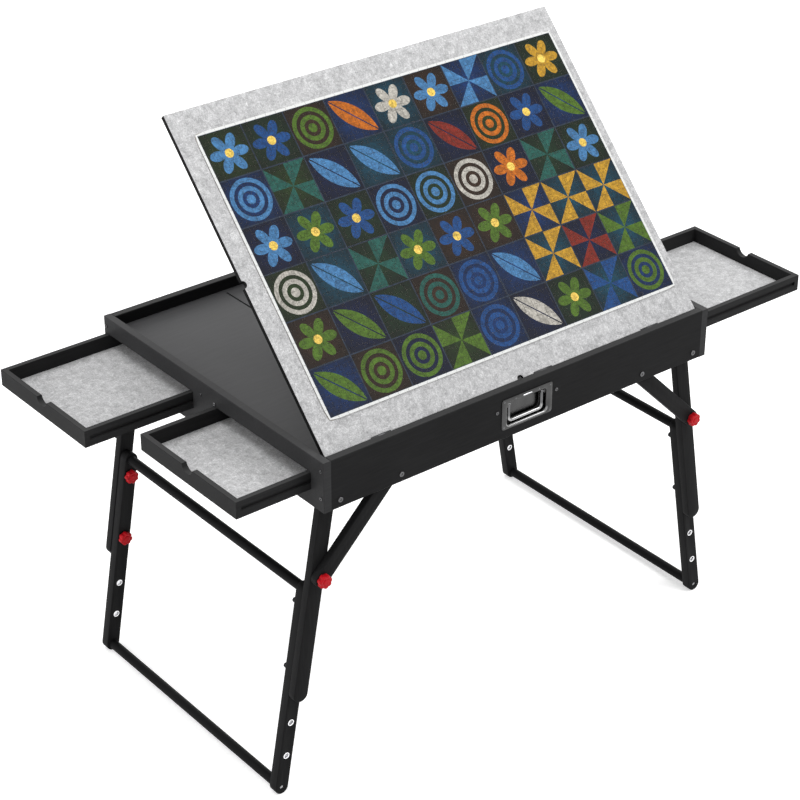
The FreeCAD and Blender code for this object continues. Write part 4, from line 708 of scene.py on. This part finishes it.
# ---------- fasteners
def cross(size, arm):
    """A cross-shaped recess, clockwise."""
    ring = [(size, -arm), (size, arm), (arm, arm), (arm, size), (-arm, size), (-arm, arm),
            (-size, arm), (-size, -arm), (-arm, -arm), (-arm, -size), (arm, -size), (arm, -arm)]
    return ring[::-1]


def hexagon(flat):
    """A six-sided recess, clockwise, from its middle to a flat."""
    reach = flat / math.cos(math.pi / 6)
    return [(reach * math.cos(a), reach * math.sin(a)) for a in angles(6)][::-1]


def head_of(shape, matrix, radius, height, recess, sink):
    """A domed head from its seat up along +Z, with a recess as deep as sink."""
    shape.plate([circle(0, 0, radius, 32, False), recess], height - sink, height, 0,
                min(sink, height) * 0.85, matrix, 4)
    shape.lathe([(radius, 0), (radius, height - sink)], matrix, 32)


def facing_matrix(x, y, z, direction):
    """A seat at a place whose +Z looks along the direction."""
    quaternion = Vector(direction).to_track_quat("Z", "Y")
    return at(x, y, z) @ quaternion.to_matrix().to_4x4()


def add_wood_screw(shape, seat, spin, radius, shank, tip):
    """A cross-recessed screw whose straight shank and pointed tip end at depths."""
    head_of(shape, seat @ turn(spin, "Z"), radius, HEAD_RISE, cross(1.7, 0.45), RECESS_DEPTH)
    shape.lathe([(SCREW_SHANK, 0), (SCREW_SHANK, -shank), (SCREW_TIP, -tip)], seat, 16)


def make_frame_screws():
    """Two screws per corner, two in the tray floor's ends and one per end of a beam."""
    shape = Shape()
    corner = HALF_WIDTH - CORNER_SCREW_INSET
    ends = [(y, z) for y in (-corner, corner) for z in CORNER_SCREW_HEIGHTS]
    ends += [(y, FLOOR_SCREW_HEIGHT) for y in (-FLOOR_SCREW_OFF, FLOOR_SCREW_OFF)]
    seats = []
    for side in SIDES:
        for y, z in ends:
            seats.append((CASE_X + side * HALF_LENGTH, y, CASE_Z + z, (side, 0, 0)))
        beam = CASE_X + side * (HALF_LENGTH - BEAM_INSET)
        for end in ENDS:
            seats.append((beam, end * HALF_WIDTH, CASE_Z + BEAM_SCREW_HEIGHT, (0, end, 0)))
    for number, (x, y, z, direction) in enumerate(seats):
        seat = facing_matrix(x, y, z, direction) @ turn(37 * number, "Z")
        add_wood_screw(shape, seat, 0, SCREW_HEAD, 26.0, 32.5)
    shape.make("wood_screws", "case", [DULL], None, ["frame_screws"], "screws")


def make_pivot_bolts():
    """Bolts through the long walls: with a collar for a leg, plain for a brace."""
    shape = Shape()
    leg_bolt = [(BOLT_RADIUS, 0), (BOLT_RADIUS, -WALL), (COLLAR_RADIUS, -WALL),
                (COLLAR_RADIUS, -COLLAR_END), (BOLT_RADIUS, -COLLAR_END),
                (BOLT_RADIUS, -44.8), (BOLT_TIP, -45.5)]
    brace_bolt = [(BOLT_RADIUS, 0), (BOLT_RADIUS, -28.4), (BOLT_TIP, -29.2)]
    for side, end in CORNERS:
        for inset, profile in ((PIVOT_INSET, leg_bolt), (BRACE_INSET, brace_bolt)):
            x = CASE_X + side * (HALF_LENGTH - inset)
            seat = facing_matrix(x, end * HALF_WIDTH, PIVOT_Z, (0, end, 0))
            head = seat @ turn(11 * inset, "Z")
            head_of(shape, head, BOLT_HEAD, HEAD_RISE, hexagon(1.6), RECESS_DEPTH)
            shape.lathe(profile, seat, 32)
    shape.make("shoulder_bolts", "case", [DULL], None, ["pivot_bolts"], "screws")


def make_leg_screws(side):
    """The sunk screws that hold the crossbars of one end."""
    shape = Shape()
    for end in ENDS:
        for along in (LOWER_START, FOOT_ALONG):
            x = CASE_X + side * (HALF_LENGTH - PIVOT_INSET + along * math.sin(SPLAY))
            y = end * (HALF_WIDTH - LOWER_LAYER)
            seat = facing_matrix(x, y, PIVOT_Z - along * math.cos(SPLAY), (0, end, 0))
            add_wood_screw(shape, seat @ at(0, 0, -HEAD_DEPTH), along, 3.35, 30.0, 33.3)
    shape.make(f"bar_screws_{SIDES[side]}", f"{SIDES[side]}_lower_frame", [STEEL], None,
               [f"leg_screws_{SIDES[side]}"], "screws")


# ---------- board, felt and jigsaw
BOARD_SEAT = at(CASE_X, HINGE_Y, HINGE_Z) @ Matrix.Rotation(TILT, 4, "X")


def notched_outline(inset=0.0):
    """The board's outline with its two finger notches and three hinge reliefs."""
    half, deep, notch = BOARD_HALF - inset, BOARD_DEPTH - inset, NOTCH_RADIUS + inset
    ring = []

    def scoop(x, y, start):
        for step in range(15):
            a = start + math.pi * (1 - step / 14)
            ring.append((x + notch * math.cos(a), y + notch * math.sin(a)))

    ring.append((-half, inset))
    breaks = sorted([(middle, "hinge") for middle in HINGES] + [(0.0, "notch")])
    for x, kind in breaks:
        if kind == "notch":
            scoop(x, inset, 0)
        else:
            reach, relief = HINGE_HALF + inset, HINGE_RELIEF + inset
            ring.extend([(x - reach, inset), (x - reach, relief),
                         (x + reach, relief), (x + reach, inset)])
    ring += [(half, inset), (half, deep), (-half, deep)]
    scoop(-half, BOARD_DEPTH / 2, -math.pi / 2)
    return ring


def cut_into_cells(thing, pitch):
    """Cut the faces of a sheet along a square grid, so that its surface can undulate."""
    mesh = bmesh.new()
    mesh.from_mesh(thing.data)
    low = [min(vert.co[axis] for vert in mesh.verts) for axis in (0, 1)]
    high = [max(vert.co[axis] for vert in mesh.verts) for axis in (0, 1)]
    for axis in (0, 1):
        count = int((high[axis] - low[axis]) / (pitch * MM))
        normal = [0, 0, 0]
        normal[axis] = 1
        for number in range(1, count + 1):
            spot = [0, 0, 0]
            spot[axis] = low[axis] + number * (high[axis] - low[axis]) / (count + 1)
            geometry = mesh.verts[:] + mesh.edges[:] + mesh.faces[:]
            bmesh.ops.bisect_plane(mesh, geom=geometry, plane_co=spot, plane_no=normal)
    mesh.to_mesh(thing.data)
    mesh.free()


def ruffle(thing, top, height, scale):
    """Lower the upper face of a felt by a little noise; nothing rises over it."""
    for vert in thing.data.vertices:
        if vert.co.z > (top - 0.15) * MM:
            spot = Vector((vert.co.x, vert.co.y, 0.3)) * scale
            vert.co.z -= height * MM * (0.5 + 0.5 * noise.noise(spot))


def lay_felt(thing, top):
    """Give a flat felt the slight unevenness of pressed fibres."""
    cut_into_cells(thing, 9)
    ruffle(thing, top, 0.22, 95)
    soften_shading(thing.data, SMOOTH_FELT)


def make_board_felt():
    felt = Shape()
    felt.plate([notched_outline(0.15)], -FELT, 0, 0, 0.5)
    thing = felt.make("work_felt", "board", [FELT_GREY], BOARD_SEAT, ["board_felt"], "felt")
    lay_felt(thing, 0)


def make_board():
    """The board, with a strip under it that thickens its sides and its back edge."""
    board = Shape()
    under = -FELT - BOARD_WALL
    board.plate([notched_outline()], under, -FELT, 0.5, 0.3)
    outer = [point for point in notched_outline() if point[1] > STRIP_WIDE / 2]
    half, back = BOARD_HALF - STRIP_WIDE, BOARD_DEPTH - STRIP_WIDE
    ring = [(half, 0.0), (BOARD_HALF, 0.0)] + outer + [(-BOARD_HALF, 0.0), (-half, 0.0),
                                                       (-half, back), (half, back)]
    board.plate([ring], under - STRIP_THICK, under, 0.5, 0)
    board.make("work_board", "board", [BOARD], BOARD_SEAT, ["puzzle_board"], "board")


def make_drawer_felts():
    for side, end in CORNERS:
        tail = name_of(side, end)
        low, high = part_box(f"drawer_felt_{tail}")
        middle = (low + high) / 2
        size = (high - low) / MM
        felt = Shape()
        felt.plate([rounded(size.x, size.y, 1.0, segments=2)], 0, FELT, 0, 0.5)
        thing = felt.make(f"lining_{tail}", f"{tail}_drawer", [FELT_GREY],
                          Matrix.Translation((middle.x, middle.y, low.z)),
                          [f"drawer_felt_{tail}"], "felt")
        lay_felt(thing, FELT)


# A piece's edge from corner to corner, with its tab: shares of its length along and across.
TAB = [(0.0, 0.0), (0.2, -0.02), (0.37, -0.025), (0.425, 0.03), (0.375, 0.135), (0.4, 0.225),
       (0.5, 0.265), (0.6, 0.225), (0.625, 0.135), (0.575, 0.03), (0.63, -0.025), (0.8, -0.02)]


def make_jigsaw():
    """Interlocking pieces on a thin card, each with a tab or a blank on every inner edge."""
    columns, rows = PIECES_ACROSS, PIECES_UP
    wide, deep = PUZZLE_WIDE / columns, PUZZLE_DEEP / rows
    rng = random.Random(PIECES_SEED)
    across = {(c, r): rng.choice((-1, 1)) for c in range(columns) for r in range(1, rows)}
    upward = {(c, r): rng.choice((-1, 1)) for c in range(1, columns) for r in range(rows)}
    shape = Shape()

    def edge(start, end, sign):
        """Points from start up to, not including, end; sign 0 is a straight outer edge."""
        start, end = Vector(start), Vector(end)
        along = end - start
        normal = Vector((-along.y, along.x))
        if sign == 0:
            return [tuple(start)]
        return [tuple(start + along * t + normal * (sign * s)) for t, s in TAB]

    def backwards(start, end, sign):
        return [tuple(Vector(start))] + edge(end, start, sign)[:0:-1]

    for c in range(columns):
        for r in range(rows):
            x0, y0 = PUZZLE_X + c * wide, PUZZLE_Y + r * deep
            x1, y1 = x0 + wide, y0 + deep
            ring = edge((x0, y0), (x1, y0), across.get((c, r), 0))
            ring += edge((x1, y0), (x1, y1), upward.get((c + 1, r), 0))
            ring += backwards((x1, y1), (x0, y1), across.get((c, r + 1), 0))
            ring += backwards((x0, y1), (x0, y0), upward.get((c, r), 0))
            ring = [round_corner(*point) for point in ring]
            shape.slot = 1
            low = [(x, y, CARD_THICK) for x, y in offset(ring, SEAM)]
            side = [(x, y, PUZZLE_THICK - SEAM_DEPTH) for x, y in offset(ring, SEAM)]
            shape.loft([low, side], caps=(True, False))
            shape.slot = 0
            top_ring = [(x, y, PUZZLE_THICK) for x, y in offset(ring, SEAM_TOP)]
            shape.loft([side, top_ring], caps=(False, True))
    shape.slot = 1
    card = rounded(PUZZLE_WIDE - 1, PUZZLE_DEEP - 1, PUZZLE_CORNER)
    shape.plate([[(x + MIDDLE_X, y + MIDDLE_Y) for x, y in card]], 0, CARD_THICK, 0, 0)
    shape.make("jigsaw_puzzle", "board", [PRINT, CARD], BOARD_SEAT, ["jigsaw_picture"], "jigsaw",
               SMOOTH_JIGSAW)


def round_corner(x, y):
    """Pull a point that lies outside a rounded corner of the jigsaw onto its arc."""
    x, y = x - MIDDLE_X, y - MIDDLE_Y
    inner_x, inner_y = PUZZLE_WIDE / 2 - PUZZLE_CORNER, PUZZLE_DEEP / 2 - PUZZLE_CORNER
    over = Vector((abs(x) - inner_x, abs(y) - inner_y))
    if over.x > 0 and over.y > 0 and over.length > PUZZLE_CORNER:
        over = over.normalized() * PUZZLE_CORNER
        x = math.copysign(inner_x + over.x, x)
        y = math.copysign(inner_y + over.y, y)
    return x + MIDDLE_X, y + MIDDLE_Y


def make_hinge_screws():
    """Small countersunk heads on the hinge leaves, two on each."""
    rim, under = Shape(), Shape()
    radius, rise, sink, leaf = 2.2, 0.5, 0.35, 0.9
    for middle in HINGES:
        for step in (-12, 12):
            inside = facing_matrix(CASE_X + middle + step, HINGE_Y - 1.1, HINGE_Z - 10, (0, 1, 0))
            below = at(middle + step, 10, -FELT - BOARD_WALL - leaf) @ turn(180, "X")
            for shape, seat in ((rim, inside), (under, below)):
                head_of(shape, seat, radius, rise, cross(1.1, 0.3), sink)
    rim.make("hinge_rim_screws", "case", [ZINC], None, (), "screws")
    under.make("hinge_board_screws", "board", [ZINC], BOARD_SEAT, (), "screws")


# ---------- handle
HANDLE = at(CASE_X, -HALF_WIDTH, PULL_Z)
DISH_MIDDLE, DISH_FLOOR = -2.2, 11.8
BAIL_Z, BAIL_HALF, BAIL_RADIUS, BAIL_DEPTH, BAIL_DROP, BAIL_BEND = 13.8, 37.0, 3.3, 5.0, 32.0, 7.0
RIVET_X, RIVET_Z = 51.5, 24.5

# Width, height, corner and depth of the rings: the flange, then the dish from its lip to its
# floor, and the back of the sheet outwards again.
FLANGE = [(113, 59, 5, 0), (113, 59, 5, -0.9), (112.6, 58.6, 4.8, -1.3), (111.8, 57.8, 4.4, -1.5)]
LIP_RINGS = [(93.6, 48.6, 8.8, -1.5), (91.4, 46.4, 7.7, -1.28), (89.5, 44.5, 6.75, -0.65),
             (88.2, 43.2, 6.1, 0.29), (87.8, 42.8, 5.9, 1.4)]
DISH = [(86.0, 41.0, 5.4, 8.6), (85.2, 40.2, 5.2, 10.4), (83.2, 38.2, 4.4, 11.5),
        (80.0, 35.0, 3.4, DISH_FLOOR), (40.0, 12.0, 2.0, DISH_FLOOR)]
SHEET_BACK = [(40.0, 12.0, 2.0, 13.0), (81.0, 36.0, 4.0, 13.0), (86.6, 41.6, 6.2, 12.0),
              (89.6, 44.6, 7.0, 0.0)]


def handle_ring(middle, width, height, corner, y):
    return [(x, y, z) for x, z in rounded(width, height, corner, middle, 8)]


def make_handle():
    """Flange, rolled lip and drafted dish as one skin, with bosses, rivets and a bead on it."""
    plate = Shape()
    front = [handle_ring(0, *sizes) for sizes in FLANGE]
    front += [handle_ring(DISH_MIDDLE, *sizes) for sizes in LIP_RINGS + DISH]
    back = [handle_ring(DISH_MIDDLE, *sizes) for sizes in SHEET_BACK]
    plate.loft(front[::-1] + back[::-1], HANDLE)
    count = len(front[0])
    first = len(DISH) * count
    last = first + (len(LIP_RINGS) - 1) * count
    # The lip rings take the lip finish, whose lower part carries a painted highlight.
    plate.slots[first:last] = [1] * (last - first)
    for side in SIDES:
        middle = side * (BAIL_HALF + BAIL_RADIUS + 1.9)
        block = rounded(3.2, 7.2, 0.8, BAIL_Z, 3)
        plate.plate([[(middle + x, z) for x, z in block]], 1.4, 12.0, 0.5, 0.2,
                    HANDLE @ turn(90, "X") @ Matrix.Scale(-1, 4, (0, 0, 1)))
    plate.make("pressed_pull_plate", "case", [GUNMETAL, LIP], None, ["handle_plate"],
               "handle_plate")
    trim = Shape()
    seats = [(side * RIVET_X, level * RIVET_Z) for side in SIDES for level in (-1, 1)]
    seats += [(-26, RIVET_Z), (26, RIVET_Z)]
    for x, z in seats:
        dome = [(1.8, -0.05), (1.8, 0.12), (1.6, 0.35), (1.15, 0.52), (0.5, 0.6)]
        trim.lathe(dome, HANDLE @ at(x, -1.5, z) @ turn(90, "X"), 20)
    bead = []
    for x, radius in ((-10, 0.3), (-9.8, 0.8), (-9.2, 1.15), (-8.2, 1.25), (8.2, 1.25),
                      (9.2, 1.15), (9.8, 0.8), (10, 0.3)):
        bead.append([(x, -1.45 - radius * max(0, math.sin(a)), RIVET_Z + radius * math.cos(a))
                     for a in angles(24)])
    trim.slot = 1
    trim.loft(bead, HANDLE)
    trim.make("pull_rivets_and_bead", "case", [DULL, STEEL], None, (), "handle_plate")


def make_bail():
    """One bent rod with a turned eye and a pin at the top of either arm."""
    middle_x, middle_z, steps = BAIL_BEND - BAIL_HALF, BAIL_BEND - BAIL_DROP, 8
    path = [Vector((-BAIL_HALF, 0, 0)), Vector((-BAIL_HALF, 0, middle_z))]
    for step in range(1, steps + 1):
        a = math.pi + math.pi / 2 * step / steps
        path.append(Vector((middle_x + BAIL_BEND * math.cos(a), 0,
                            middle_z + BAIL_BEND * math.sin(a))))
    path += [Vector((-p.x, 0, p.z)) for p in reversed(path)]
    shape = Shape()
    rings = []
    for number, spot in enumerate(path):
        before, after = path[max(0, number - 1)], path[min(len(path) - 1, number + 1)]
        along = (after - before).normalized()
        side = along.cross(Vector((0, 1, 0))).normalized()
        rings.append([tuple(spot + side * BAIL_RADIUS * math.cos(a)
                            + Vector((0, 1, 0)) * BAIL_RADIUS * math.sin(a)) for a in angles(24)])
    shape.loft(rings)
    for side in SIDES:
        start = side * (BAIL_HALF - BAIL_RADIUS)
        outward = turn(90 * side, "Y")
        shape.lathe([(2.9, 0), (3.3, 0.4), (3.3, 6.2), (2.9, 6.6), (2.2, 6.6), (2.2, 10.9),
                     (1.8, 11.3)], at(start, 0, 0) @ outward, 24)
    seat = HANDLE @ at(0, BAIL_DEPTH, BAIL_Z)
    shape.make("pull_bail", "bail", [CHROME], seat, ["handle_bail"], "handle_bail")


# ---------- stage, light, camera
def seen_share(tree):
    """1 on rays from the camera, through gloss and glass too, and 0 on rays that only light."""
    path = tree.nodes.new("ShaderNodeLightPath")
    share = path.outputs["Is Camera Ray"]
    for ray in ("Is Glossy Ray", "Is Transmission Ray"):
        node = tree.nodes.new("ShaderNodeMath")
        node.operation = "MAXIMUM"
        tree.links.new(share, node.inputs[0])
        tree.links.new(path.outputs[ray], node.inputs[1])
        share = node.outputs[0]
    return share


def make_stage():
    """A white floor that takes the table's shadow and glows where it is seen."""
    data = bpy.data.meshes.new("studio_floor")
    corners = [(side * FLOOR_REACH, end * FLOOR_REACH, 0) for side, end in CORNERS]
    data.from_pydata(corners, [], [(0, 2, 3, 1)])
    floor = add_object("studio_floor", data)
    floor.location.z = -FLOOR_DROP
    shade = Shade("studio_white", (0.9, 0.9, 0.9), roughness=0.9, specular_ior_level=0.0)
    shade.set(shade.shader, "Emission Color", (1, 1, 1, 1))
    shade.set(shade.shader, "Emission Strength",
              shade.math("MULTIPLY", seen_share(shade.tree), FLOOR_GLOW))
    data.materials.append(shade.material)


def make_world():
    """A white world that lights the table less than it shows behind it."""
    world = bpy.data.worlds.new("studio")
    bpy.context.scene.world = world
    world.use_nodes = True
    tree = world.node_tree
    level = tree.nodes.new("ShaderNodeMapRange")
    level.inputs["To Min"].default_value = SKY_LIGHT
    level.inputs["To Max"].default_value = 1.0
    tree.links.new(seen_share(tree), level.inputs["Value"])
    background = tree.nodes["Background"]
    background.inputs["Color"].default_value = (1, 1, 1, 1)
    tree.links.new(level.outputs[0], background.inputs["Strength"])


def make_lamp(name, spot, size, watts):
    data = bpy.data.lights.new(name, "AREA")
    data.shape, data.size, data.energy = "DISK", size, watts
    lamp = add_object(name, data)
    lamp.location = spot
    lamp.rotation_euler = (Vector(LAMP_AIM) - lamp.location).to_track_quat("-Z", "Y").to_euler()


def make_camera():
    data = bpy.data.cameras.new("studio_camera")
    data.sensor_width, data.lens = SENSOR, LENS
    camera = add_object("studio_camera", data)
    camera.location = CAMERA_SPOT
    look = Vector((math.sin(CAMERA_BEARING) * math.cos(CAMERA_PITCH),
                   math.cos(CAMERA_BEARING) * math.cos(CAMERA_PITCH), -math.sin(CAMERA_PITCH)))
    camera.rotation_euler = look.to_track_quat("-Z", "Y").to_euler()
    bpy.context.scene.camera = camera


bpy.context.scene.view_settings.view_transform = "Standard"
make_camera()
make_stage()
make_world()
for lamp in LAMPS:
    make_lamp(*lamp)

dress_nodes()
for side in SIDES:
    make_leg_screws(side)
    for end in ENDS:
        make_leg(side, end)
        make_brace(side, end)
        make_knobs(side, end)
make_frame_screws()
make_pivot_bolts()
make_board_felt()
make_board()
make_drawer_felts()
make_jigsaw()
make_hinge_screws()
make_handle()
make_bail()
